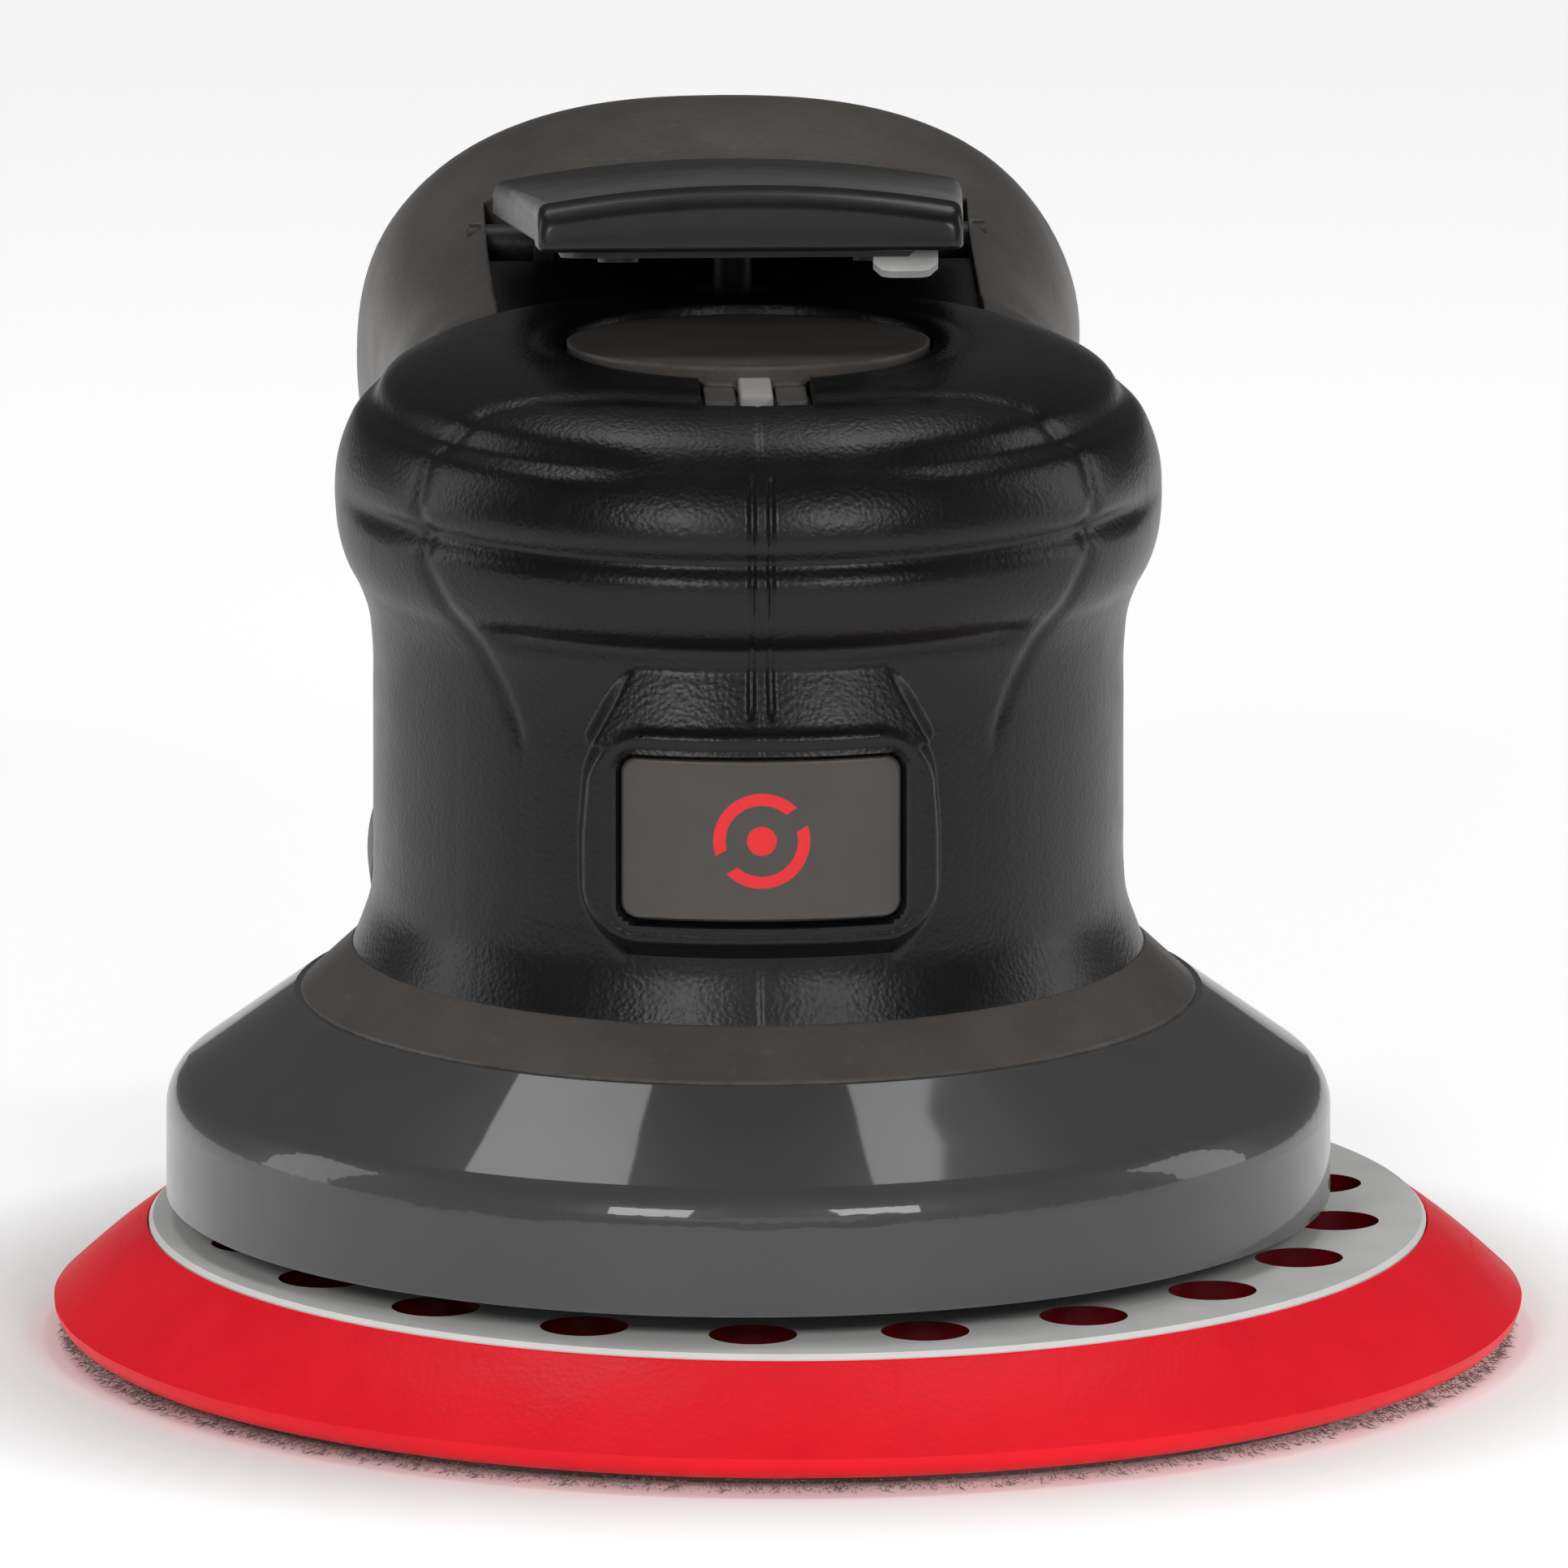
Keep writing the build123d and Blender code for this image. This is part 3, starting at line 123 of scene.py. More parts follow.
def buildGrain():
    # moulded grain: fine cells sharpened and laid over a softer noise; Height is 0..1 and Speck picks rare dots
    group, given, made = newGroup(
        "mouldGrain",
        [("Vector", "Vector", (0, 0, 0)), ("Scale", "Float", 2500.0)],
        [("Height", "Float"), ("Speck", "Float")])
    cells = group.nodes.new("ShaderNodeTexVoronoi")
    cells.feature = "SMOOTH_F1"
    group.links.new(given["Vector"], cells.inputs["Vector"])
    group.links.new(given["Scale"], cells.inputs["Scale"])
    soft = noise(group, given["Vector"], doMath(group, "MULTIPLY", given["Scale"], 0.6), 4.0, 0.6)
    height = doMath(group, "MULTIPLY_ADD", cells.outputs["Distance"], 0.7, doMath(group, "MULTIPLY", soft, 0.6))
    group.links.new(height, made["Height"])
    dots = noise(group, given["Vector"], doMath(group, "MULTIPLY", given["Scale"], 0.35), 2.0, 0.5)
    group.links.new(stretch(group, dots, 0.62, 0.74), made["Speck"])
    return group


def buildHandling():
    # handling marks: Smear is broad cloudy variation, Scratch is thin stretched lines, both 0..1
    group, given, made = newGroup(
        "handlingMarks", [("Vector", "Vector", (0, 0, 0))], [("Smear", "Float"), ("Scratch", "Float")])
    broad = noise(group, given["Vector"], 38.0, 5.0, 0.62)
    fine = noise(group, given["Vector"], 190.0, 3.0, 0.5)
    smear = doMath(group, "MULTIPLY_ADD", fine, 0.3, doMath(group, "MULTIPLY", broad, 0.7))
    group.links.new(stretch(group, smear, 0.36, 0.64), made["Smear"])
    tilt = group.nodes.new("ShaderNodeMapping")
    group.links.new(given["Vector"], tilt.inputs["Vector"])
    tilt.inputs["Rotation"].default_value = (0.4, 0.7, 0.5)
    tilt.inputs["Scale"].default_value = (900.0, 45.0, 45.0)
    lines = noise(group, tilt.outputs[0], 1.0, 2.0, 0.5)
    group.links.new(stretch(group, lines, 0.66, 0.72), made["Scratch"])
    return group


def buildEdges():
    # worn edges: how far a rounded normal turns from the true one, broken up by noise, 0..1
    group, given, made = newGroup(
        "edgeWear",
        [("Vector", "Vector", (0, 0, 0)), ("Radius", "Float", 0.0006), ("Amount", "Float", 1.0)],
        [("Mask", "Float")])
    bevel = group.nodes.new("ShaderNodeBevel")
    bevel.samples = 4
    group.links.new(given["Radius"], bevel.inputs["Radius"])
    place = group.nodes.new("ShaderNodeNewGeometry")
    turn = group.nodes.new("ShaderNodeVectorMath")
    turn.operation = "DOT_PRODUCT"
    group.links.new(bevel.outputs[0], turn.inputs[0])
    group.links.new(place.outputs["Normal"], turn.inputs[1])
    bend = stretch(group, turn.outputs["Value"], 0.995, 0.86)
    broken = stretch(group, noise(group, given["Vector"], 420.0, 4.0, 0.65), 0.35, 0.6)
    mask = doMath(group, "MULTIPLY", doMath(group, "MULTIPLY", bend, broken), given["Amount"], clamp=True)
    group.links.new(mask, made["Mask"])
    return group


grainGroup, handlingGroup, edgeGroup = buildGrain(), buildHandling(), buildEdges()


def useGroup(tree, group, vector, **values):
    node = tree.nodes.new("ShaderNodeGroup")
    node.node_tree = group
    tree.links.new(vector, node.inputs["Vector"])
    for key, value in values.items():
        node.inputs[key].default_value = value
    return node.outputs


def makeFinish(name, colour, worn, rough, grainScale, grainDepth, smear=0.12, wear=0.5, metal=0.0,
               coat=0.0, speck=0.0, speckColour=(0.5, 0.5, 0.5), scratch=0.15, sheen=0.0, brushed=0.0,
               specular=0.5, wearRadius=0.0006, soften=0.0):
    # one finish: colour cloudy by smear, lighter at worn edges, rough varied by smear and scratches, grain as bump
    # over a normal turned evenly within the softening radius of every edge
    material = bpy.data.materials.new(name)
    material.use_nodes = True
    tree = material.node_tree
    shader = tree.nodes["Principled BSDF"]
    at = tree.nodes.new("ShaderNodeTexCoord").outputs["Object"]
    marks = useGroup(tree, handlingGroup, at)
    grain = useGroup(tree, grainGroup, at, Scale=grainScale)
    darker = tuple(c * (1 - smear * 1.6) for c in colour)
    base = mixColour(tree, marks["Smear"], darker, tuple(min(1.0, c * (1 + smear)) for c in colour))
    if speck:
        base = mixColour(tree, doMath(tree, "MULTIPLY", grain["Speck"], speck), base, speckColour)
    if wear:
        edges = useGroup(tree, edgeGroup, at, Radius=wearRadius, Amount=wear)
        base = mixColour(tree, edges["Mask"], base, worn)
    tree.links.new(base, shader.inputs["Base Color"])
    roughness = doMath(tree, "MULTIPLY_ADD", marks["Smear"], rough * 0.28, rough * 0.86)
    roughness = doMath(tree, "MULTIPLY_ADD", marks["Scratch"], scratch, roughness, clamp=True)
    tree.links.new(roughness, shader.inputs["Roughness"])
    height = grain["Height"]
    if brushed:
        lines = tree.nodes.new("ShaderNodeMapping")
        tree.links.new(at, lines.inputs["Vector"])
        lines.inputs["Scale"].default_value = (300.0, 300.0, 9000.0)
        height = doMath(tree, "MULTIPLY_ADD", noise(tree, lines.outputs[0], 1.0, 2.0), brushed, height)
    bump = tree.nodes.new("ShaderNodeBump")
    bump.inputs["Strength"].default_value = 1.0
    bump.inputs["Distance"].default_value = grainDepth * mm
    tree.links.new(height, bump.inputs["Height"])
    if soften:
        round = tree.nodes.new("ShaderNodeBevel")
        round.samples = 4
        round.inputs["Radius"].default_value = soften
        tree.links.new(round.outputs[0], bump.inputs["Normal"])
    tree.links.new(bump.outputs[0], shader.inputs["Normal"])
    shader.inputs["Metallic"].default_value = metal
    shader.inputs["Specular IOR Level"].default_value = specular
    shader.inputs["Coat Weight"].default_value = coat
    shader.inputs["Coat Roughness"].default_value = 0.04
    shader.inputs["Sheen Weight"].default_value = sheen
    shader.inputs["Sheen Roughness"].default_value = 0.4
    return material


steelWorn = (0.75, 0.75, 0.76)
finishSettings = {
    "hook_fibre": dict(colour=(0.2, 0.19, 0.18), worn=(0.2, 0.2, 0.2), rough=0.9, grainScale=1400, grainDepth=0.35,
                       smear=0.3, wear=0.0, sheen=0.5, scratch=0.0, speck=0.7, speckColour=(0.32, 0.31, 0.3)),
    "foam_red": dict(colour=(0.98, 0.006, 0.02), worn=(0.95, 0.12, 0.12), rough=0.42, grainScale=1700,
                     grainDepth=0.035, smear=0.06, wear=0.0, scratch=0.08, specular=0.25),
    "plate_white": dict(colour=(0.86, 0.855, 0.84), worn=(0.95, 0.95, 0.94), rough=0.38, grainScale=2600,
                        grainDepth=0.012, smear=0.035, wear=0.3, scratch=0.1),
    "machined_steel": dict(colour=(0.55, 0.55, 0.56), worn=steelWorn, rough=0.3, grainScale=3000, grainDepth=0.006,
                           metal=1.0, brushed=0.8),
    "bearing_steel": dict(colour=(0.64, 0.64, 0.65), worn=steelWorn, rough=0.16, grainScale=4000, grainDepth=0.003,
                          metal=1.0, brushed=0.3),
    "blackened_steel": dict(colour=(0.09, 0.09, 0.095), worn=(0.5, 0.5, 0.5), rough=0.4, grainScale=2500,
                            grainDepth=0.012, metal=1.0, wear=0.8),
    "plate_aluminium": dict(colour=(0.7, 0.7, 0.72), worn=(0.85, 0.85, 0.86), rough=0.34, grainScale=2600,
                            grainDepth=0.01, metal=1.0, brushed=0.7),
    "liner_iron": dict(colour=(0.17, 0.165, 0.16), worn=(0.4, 0.4, 0.4), rough=0.5, grainScale=1800, grainDepth=0.03,
                       metal=1.0),
    "valve_brass": dict(colour=(0.78, 0.57, 0.28), worn=(0.9, 0.72, 0.42), rough=0.27, grainScale=2600,
                        grainDepth=0.008, metal=1.0, brushed=0.5),
    "housing_grey": dict(colour=(0.072, 0.064, 0.057), worn=(0.2, 0.19, 0.175), rough=0.44, grainScale=1900,
                         grainDepth=0.04, smear=0.1, wear=0.5, speck=0.16, speckColour=(0.15, 0.14, 0.13),
                         scratch=0.06, soften=0.0006),
    "shroud_grey": dict(colour=(0.058, 0.058, 0.06), worn=(0.17, 0.17, 0.175), rough=0.34, grainScale=900,
                        grainDepth=0.003, smear=0.03, wear=0.35, coat=0.6, scratch=0.0, specular=0.2),
    "grip_rubber": dict(colour=(0.0035, 0.0035, 0.0037), worn=(0.02, 0.02, 0.021), rough=0.34, grainScale=2100,
                        grainDepth=0.05, smear=0.12, wear=0.35, scratch=0.04, specular=0.3),
    "lever_black": dict(colour=(0.008, 0.008, 0.0085), worn=(0.05, 0.05, 0.052), rough=0.36, grainScale=1500,
                        grainDepth=0.008, smear=0.1, wear=0.5, coat=0.08, specular=0.3, scratch=0.03),
    "badge_grey": dict(colour=(0.057, 0.050, 0.045), worn=(0.3, 0.29, 0.27), rough=0.42, grainScale=2600,
                       grainDepth=0.02, smear=0.1, wear=0.7, wearRadius=0.0004),
    "seal_rubber": dict(colour=(0.014, 0.014, 0.014), worn=(0.04, 0.04, 0.04), rough=0.65, grainScale=2600,
                        grainDepth=0.02),
    "felt_grey": dict(colour=(0.3, 0.29, 0.27), worn=(0.4, 0.39, 0.37), rough=0.95, grainScale=1100, grainDepth=0.25,
                      smear=0.2, wear=0.0, sheen=0.4),
    "vane_brown": dict(colour=(0.2, 0.09, 0.04), worn=(0.32, 0.17, 0.09), rough=0.5, grainScale=1600,
                       grainDepth=0.03, smear=0.2),
    "cage_nylon": dict(colour=(0.52, 0.47, 0.35), worn=(0.6, 0.56, 0.44), rough=0.5, grainScale=2200,
                       grainDepth=0.02, smear=0.08),
    "knob_black": dict(colour=(0.015, 0.015, 0.015), worn=(0.07, 0.07, 0.07), rough=0.48, grainScale=2200,
                       grainDepth=0.035, smear=0.12),
}
# pale grey with little metal: a painted glint on the lever's steel tab
finishSettings["tab_plated"] = dict(colour=(0.62, 0.62, 0.61), worn=(0.8, 0.8, 0.8), rough=0.42, grainScale=2600,
                                    grainDepth=0.008, metal=0.15, smear=0.12)
# lighter copy of the housing grey: a painted highlight on the notch key
finishSettings["key_pale"] = dict(colour=(0.3, 0.29, 0.28), worn=(0.42, 0.41, 0.4), rough=0.5, grainScale=2600,
                                  grainDepth=0.01, smear=0.08, soften=0.0003)
for slotName, values in finishSettings.items():
    finishes[slotName] = makeFinish("finish_" + slotName, **values)
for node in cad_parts.values():
    for slot in node.material_slots:
        slot.material = finishes[slot.material.name.split(".")[0]]
for nodeName in ("lever_pin", "lever_rivets", "lever_plate"):
    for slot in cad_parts[nodeName].material_slots:
        slot.material = finishes["knob_black"]


def plateFinishWithHoleShade():
    # white plate whose upright walls inside the rim, the dust holes' walls, get dark red painted shade: |normal z|
    # small and distance to the axis < rim
    low, high = corners("pad_plate")
    material = makeFinish("finish_padPlate", **finishSettings["plate_white"])
    tree = material.node_tree
    shader = tree.nodes["Principled BSDF"]
    place = tree.nodes.new("ShaderNodeSeparateXYZ")
    tree.links.new(tree.nodes.new("ShaderNodeTexCoord").outputs["Object"], place.inputs[0])
    x = doMath(tree, "SUBTRACT", place.outputs["X"], (low[0] + high[0]) / 2 * mm)
    reach = doMath(tree, "SQRT", doMath(tree, "MULTIPLY_ADD", x, x,
                                        doMath(tree, "MULTIPLY", place.outputs["Y"], place.outputs["Y"])))
    rim = (high[0] - low[0]) / 2 * mm
    inside = stretch(tree, reach, rim - 0.0015, rim - 0.002)
    way = tree.nodes.new("ShaderNodeSeparateXYZ")
    tree.links.new(tree.nodes.new("ShaderNodeNewGeometry").outputs["Normal"], way.inputs[0])
    upright = stretch(tree, doMath(tree, "ABSOLUTE", way.outputs["Z"]), 0.5, 0.3)
    under = shader.inputs["Base Color"].links[0].from_socket
    # mask of the dust holes' upright walls, where the dark red painted shade goes
    mask = doMath(tree, "MULTIPLY", inside, upright)
    tree.links.new(mixColour(tree, mask, under, (0.13, 0.001, 0.005)), shader.inputs["Base Color"])
    return material


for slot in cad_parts["pad_plate"].material_slots:
    slot.material = plateFinishWithHoleShade()
print("finishes set on", len(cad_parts), "CAD nodes")

# ---- helpers for surfaces

def smoothStep(low, high, value):
    # 3s^2 - 2s^3 of the share s of value between low and high
    share = np.clip((value - low) / (high - low), 0, 1)
    return share * share * (3 - 2 * share)


def ridge(distance, width):
    # bell curve exp(-(d / w)^2)
    return np.exp(-(distance / width) ** 2)


def smoothLine(points, count=2000):
    # cubic through the points with chord-length steps and central-difference slopes, sampled evenly by arc length
    points = np.array(points, float)
    step = np.r_[0, np.cumsum(np.linalg.norm(np.diff(points, axis=0), axis=1))]
    slope = np.gradient(points, step, axis=0)
    at = np.linspace(0, step[-1], count)
    k = np.clip(np.searchsorted(step, at, side="right") - 1, 0, len(step) - 2)
    gap = (step[k + 1] - step[k])[:, None]
    u = ((at - step[k])[:, None]) / gap
    line = ((2 * u ** 3 - 3 * u ** 2 + 1) * points[k] + (u ** 3 - 2 * u ** 2 + u) * gap * slope[k]
            + (3 * u ** 2 - 2 * u ** 3) * points[k + 1] + (u ** 3 - u ** 2) * gap * slope[k + 1])
    length = np.r_[0, np.cumsum(np.linalg.norm(np.diff(line, axis=0), axis=1))]
    return line, length


def lineDistance(x, y, route):
    # shortest distance from every (x, y) to a broken line
    route = np.array(route, float)
    best = np.full(x.shape, 1e9)
    for (ax, ay), (bx, by) in zip(route[:-1], route[1:]):
        dx, dy = bx - ax, by - ay
        share = np.clip(((x - ax) * dx + (y - ay) * dy) / (dx * dx + dy * dy), 0, 1)
        best = np.minimum(best, np.hypot(x - ax - share * dx, y - ay - share * dy))
    return best


def roundedBox(x, y, halfWidth, halfHeight, radius):
    # signed distance to a rounded rectangle about the origin, negative inside
    qx, qy = np.abs(x) - halfWidth + radius, np.abs(y) - halfHeight + radius
    return np.hypot(np.maximum(qx, 0), np.maximum(qy, 0)) + np.minimum(np.maximum(qx, qy), 0) - radius


def gridFaces(rows, columns, wrapRows=False, wrapColumns=True, first=0):
    # quads between neighbouring rows and columns of a grid of vertices
    index = first + np.arange(rows * columns).reshape(rows, columns)
    if wrapColumns:
        index = np.c_[index, index[:, :1]]
    if wrapRows:
        index = np.r_[index, index[:1]]
    return np.stack([index[:-1, :-1], index[:-1, 1:], index[1:, 1:], index[1:, :-1]], -1).reshape(-1, 4)


def makePiece(name, points, faces, body, slotName, replaced=(), sharp=32, finish=None):
    # mesh in metres from points in millimetres, doubles merged, faces turned outwards, smooth but for sharp edges
    mesh = bpy.data.meshes.new(name)
    faces = [tuple(f) for f in faces] if isinstance(faces, list) else faces.tolist()
    mesh.from_pydata((np.asarray(points).reshape(-1, 3) * mm).tolist(), [], faces)
    shape = bmesh.new()
    shape.from_mesh(mesh)
    bmesh.ops.remove_doubles(shape, verts=shape.verts, dist=1e-6)
    bmesh.ops.dissolve_degenerate(shape, dist=1e-7, edges=shape.edges)
    bmesh.ops.recalc_face_normals(shape, faces=shape.faces)
    shape.to_mesh(mesh)
    shape.free()
    mesh.polygons.foreach_set("use_smooth", np.ones(len(mesh.polygons), bool))
    mesh.set_sharp_from_angle(angle=math.radians(sharp))
    mesh.materials.append(finish or finishes[slotName])
    piece = bpy.data.objects.new(name, mesh)
    bpy.context.scene.collection.objects.link(piece)
    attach(piece, body)
    if replaced:
        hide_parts(*replaced)
    print(name, len(mesh.polygons), "faces")
    return piece


# ---- rubber grip

gripSettings = dict(
    # outline from the foot to the hole: millimetres in from the widest radius, millimetres above the foot
    outline=[(1.75, 0.0), (2.6, 2.2), (3.5, 4.9), (3.83, 8.5), (3.85, 14.0), (3.85, 26.0), (3.8, 31.5), (3.3, 35.4),
             (2.35, 38.0), (1.15, 40.5), (0.4, 43.1), (0.08, 45.6), (0.0, 48.1), (0.3, 50.7), (1.1, 53.3),
             (2.4, 55.9), (4.6, 58.5), (7.9, 60.5), (11.8, 61.8), (15.5, 62.4), (19.6, 62.55), (22.9, 62.4),
             (23.13, 62.2)],
    inner=[(23.13, 60.5), (16.0, 60.2), (11.0, 59.2), (6.6, 56.2), (3.6, 52.0), (2.6, 47.5), (3.6, 41.0), (5.6, 35.5),
           (6.2, 29.0), (6.2, 8.0), (5.6, 3.0), (5.0, 0.0)],
    creases=[(57.2, 0.75, 1.3, 14, 34), (47.9, 1.0, 1.25, -1, 0), (38.2, 0.8, 1.25, -1, 0)],
    creaseEnds=[(96, 118), (60, 82), (38, 46)],
    pillow=0.35,
    panel=[(6.2, 36.4), (14, 36.9), (22, 36.6), (27.2, 35.4), (30.8, 33.2), (33.2, 30.2), (34.2, 25.7), (33.5, 20.2),
           (31.2, 15.6), (28.2, 11.8), (26, 7.6), (24.4, 3.4), (23.6, -1.0)],
    panelDepth=0.32, panelWidth=0.55,
    seamGap=0.95, seamDepth=0.42, seamWidth=0.36,
    bezelHalf=19.0, bezelProud=4.1, bezelMargin=3.3, bezelCorner=6.5,
    windowGap=0.3, windowDepth=1.55, windowCorner=2.0,
    rampTop=38.2, rampHalf=13.9,
    notchHalf=5.6, notchReach=29.6, notchFloor=60.0,
    ledge=15.0, back=22.0, viewTilt=11.94)


def makeGrip(settings):
    # ring swept round the outline: radius r(h) moved along its slope by creases, pillows, bezel and seam
    low, high = corners("rubber_grip")
    badgeLow, badgeHigh = corners("badge_plate")
    widest, foot = high[0], low[2]
    outline = np.array(settings["outline"]) * [-1, 1] + [widest, foot]
    line, length = smoothLine(outline)
    notchRows = np.interp([settings["notchReach"] + 0.1, settings["notchReach"] - 0.05],
                          line[::-1, 0][:600], length[::-1][:600])
    ledgeRows = np.interp(foot + settings["ledge"] + np.array([-0.03, 0.03]), line[:1200, 1], length[:1200])
    spread = np.r_[np.linspace(0, 8, 8), np.linspace(8.6, length[-1] * 0.86, 140),
                   np.linspace(length[-1] * 0.865, length[-1], 30), notchRows, ledgeRows]
    spread = np.unique(spread)
    radius, height = np.interp(spread, length, line[:, 0]), np.interp(spread, length, line[:, 1])
    slopeR, slopeZ = np.gradient(radius, spread), np.gradient(height, spread)
    size = np.hypot(slopeR, slopeZ)
    normalR, normalZ = slopeZ / size, -slopeR / size
    front = np.arange(-40.2, 40.21, 0.3)
    side = np.r_[np.arange(41, 70, 0.9), np.arange(70.5, 178, 2.3)]
    phi = np.radians(np.r_[-side[::-1], front, side, [180]])
    edge = math.asin(settings["notchHalf"] / settings["notchReach"])
    edgeHere = np.arcsin(np.clip(settings["notchHalf"] / radius, -1, 1))[:, None]
    plain = np.broadcast_to(phi, (len(radius), len(phi)))
    inside = np.abs(plain) <= edge + 1e-6
    narrowed = np.where(inside, plain * edgeHere / edge,
                        np.sign(plain) * (edgeHere + (np.abs(plain) - edge) * (math.pi - edgeHere) / (math.pi - edge)))
    near = (radius < settings["notchReach"])[:, None] & (height > foot + 50)[:, None]
    angle = np.where(near, narrowed, plain)
    r0, z0 = radius[:, None] + angle * 0, height[:, None] + angle * 0
    x, y = r0 * np.sin(angle), -r0 * np.cos(angle)
    above, azimuth = z0 - foot, np.degrees(np.abs(angle))
    facing = smoothStep(8, -4, y)

    # ring creases with a soft swelling between them
    push = np.zeros_like(x)
    for (level, depth, width, rise, full), (fade, gone) in zip(settings["creases"], settings["creaseEnds"]):
        weight = smoothStep(rise, full, azimuth) if rise >= 0 else 1.0
        push -= depth * ridge(above - level, width) * weight * smoothStep(gone, fade, azimuth)
    levels = sorted(c[0] for c in settings["creases"])
    for start, end in zip(levels[:-1], levels[1:]):
        share = np.clip((above - start) / (end - start), 0, 1)
        push += settings["pillow"] * np.sin(share * math.pi) * smoothStep(100, 60, azimuth)
    tilt = math.radians(settings["viewTilt"])
    seen = (z0 - 60) * math.cos(tilt) + y * math.sin(tilt)
    outlineGap = lineDistance(np.abs(x), seen, settings["panel"])
    fadeLow = smoothStep(-1, 6, seen)
    push -= settings["panelDepth"] * ridge(outlineGap, settings["panelWidth"]) * facing * fadeLow
    # moulded seam: two fine grooves down the front, then a hairline
    middle = (above > badgeHigh[2] - foot) & (y < 0)
    run = smoothStep(31.5, 32.6, above) * smoothStep(57.5, 55.5, above) * middle
    for way in (-1, 1):
        push -= settings["seamDepth"] * ridge(x - way * settings["seamGap"], settings["seamWidth"]) * run
    push -= 0.09 * ridge(x, 0.25) * (y < 0)

    # bezel round the badge and the ramp above it
    middleZ = (badgeLow[2] + badgeHigh[2]) / 2
    halfTall = (badgeHigh[2] - badgeLow[2]) / 2
    flare = 1 - 0.035 * (z0 - middleZ) / halfTall * (z0 > middleZ)
    wide = (widest - 3.85 + settings["bezelProud"]) * np.sin(angle)
    bezelGap = roundedBox(wide / flare, z0 - middleZ, settings["bezelHalf"], halfTall + settings["bezelMargin"],
                        settings["bezelCorner"])
    proud = smoothStep(1.5, -1.3, bezelGap)
    top = middleZ + halfTall + settings["bezelMargin"]
    rampShare = np.clip((z0 - top + 2.0) / (foot + settings["rampTop"] - top + 2.0), 0, 1)
    rampHalf = settings["bezelHalf"] - 0.9 + (settings["rampHalf"] - settings["bezelHalf"] + 0.9) * rampShare
    ramp = smoothStep(1.6, -1.2, np.abs(wide) - rampHalf) * (z0 > top - 2.5) * (1 - rampShare)
    window = roundedBox(wide, z0 - middleZ, (badgeHigh[0] - badgeLow[0]) / 2 + settings["windowGap"],
                        halfTall + settings["windowGap"], settings["windowCorner"])
    lift = np.maximum(proud, ramp * 0.97) * settings["bezelProud"]
    lift -= 0.25 * ridge(window - 0.9, 0.5) * proud
    lift -= settings["windowDepth"] * smoothStep(0.12, -0.12, window)
    lift = np.where((y < 0) & ~near, lift, 0)
    neckR = widest - 3.85
    raised = np.where(lift > 0.02, neckR + lift - r0, 0)
    raised = np.where(z0 > foot + 33, np.maximum(raised, 0), raised)

    r = r0 + push * normalR[:, None] + raised
    z = z0 + push * normalZ[:, None]
    cut = near & inside
    z = np.where(cut, foot + settings["notchFloor"], z)
    x, y = r * np.sin(angle), -r * np.cos(angle)
    y = np.where(height[:, None] > foot + settings["ledge"], np.minimum(y, settings["back"]), y)
    inner = np.array(settings["inner"]) * [-1, 1] + [widest, foot]
    innerLine, innerLength = smoothLine(inner)
    pick = np.linspace(0, innerLength[-1], 22)
    ir = np.interp(pick, innerLength, innerLine[:, 0])[:, None] + phi * 0
    iz = np.interp(pick, innerLength, innerLine[:, 1])[:, None] + phi * 0
    iy = np.minimum(-ir * np.cos(phi), np.where(iz > foot + settings["ledge"] - 2, settings["back"] - 1.2, 99))
    shell = np.stack([x, y, z], -1)
    lining = np.stack([ir * np.sin(phi), iy, iz], -1)
    points = np.concatenate([shell, lining])
    faces = gridFaces(len(points), len(phi), wrapRows=True)
    return makePiece("gripRubber", points, faces, "housing", "grip_rubber", ("rubber_grip",), sharp=50)


makeGrip(gripSettings)


# ---- badge and the key in the grip's notch

badgeSettings = dict(corner=1.6, bevel=0.32, gap=0.12, ring=4.3, ringWidth=0.62, dot=1.5, tip=1.25)


def badgeFinish(settings, middleZ):
    # grey finish with a red mark: a ring cut by two gaps round a dot, drawn from the distance to the centre
    values = dict(finishSettings["badge_grey"])
    material = makeFinish("finish_badgeFace", **values)
    tree = material.node_tree
    shader = tree.nodes["Principled BSDF"]
    at = tree.nodes.new("ShaderNodeTexCoord").outputs["Object"]
    split = tree.nodes.new("ShaderNodeSeparateXYZ")
    tree.links.new(at, split.inputs[0])
    x = doMath(tree, "MULTIPLY", split.outputs["X"], 1 / mm)
    z = doMath(tree, "MULTIPLY_ADD", split.outputs["Z"], 1 / mm, -middleZ)
    reach = doMath(tree, "SQRT", doMath(tree, "MULTIPLY_ADD", x, x, doMath(tree, "MULTIPLY", z, z)))
    off = doMath(tree, "ABSOLUTE", doMath(tree, "SUBTRACT", reach, settings["ring"]))
    ring = stretch(tree, off, settings["ringWidth"] + 0.06, settings["ringWidth"] - 0.06)
    slant = doMath(tree, "ABSOLUTE", doMath(tree, "SUBTRACT", z, doMath(tree, "MULTIPLY", x, 0.6)))
    ring = doMath(tree, "MULTIPLY", ring, stretch(tree, slant, settings["tip"] - 0.06, settings["tip"] + 0.06))
    dot = stretch(tree, reach, settings["dot"] + 0.06, settings["dot"] - 0.06)
    mark = doMath(tree, "MAXIMUM", ring, dot, clamp=True)
    facing = tree.nodes.new("ShaderNodeNewGeometry")
    way = tree.nodes.new("ShaderNodeSeparateXYZ")
    tree.links.new(facing.outputs["Normal"], way.inputs[0])
    mark = doMath(tree, "MULTIPLY", mark, stretch(tree, way.outputs["Y"], -0.2, -0.4))
    under = shader.inputs["Base Color"].links[0].from_socket
    tree.links.new(mixColour(tree, mark, under, (0.8, 0.008, 0.014)), shader.inputs["Base Color"])
    return material


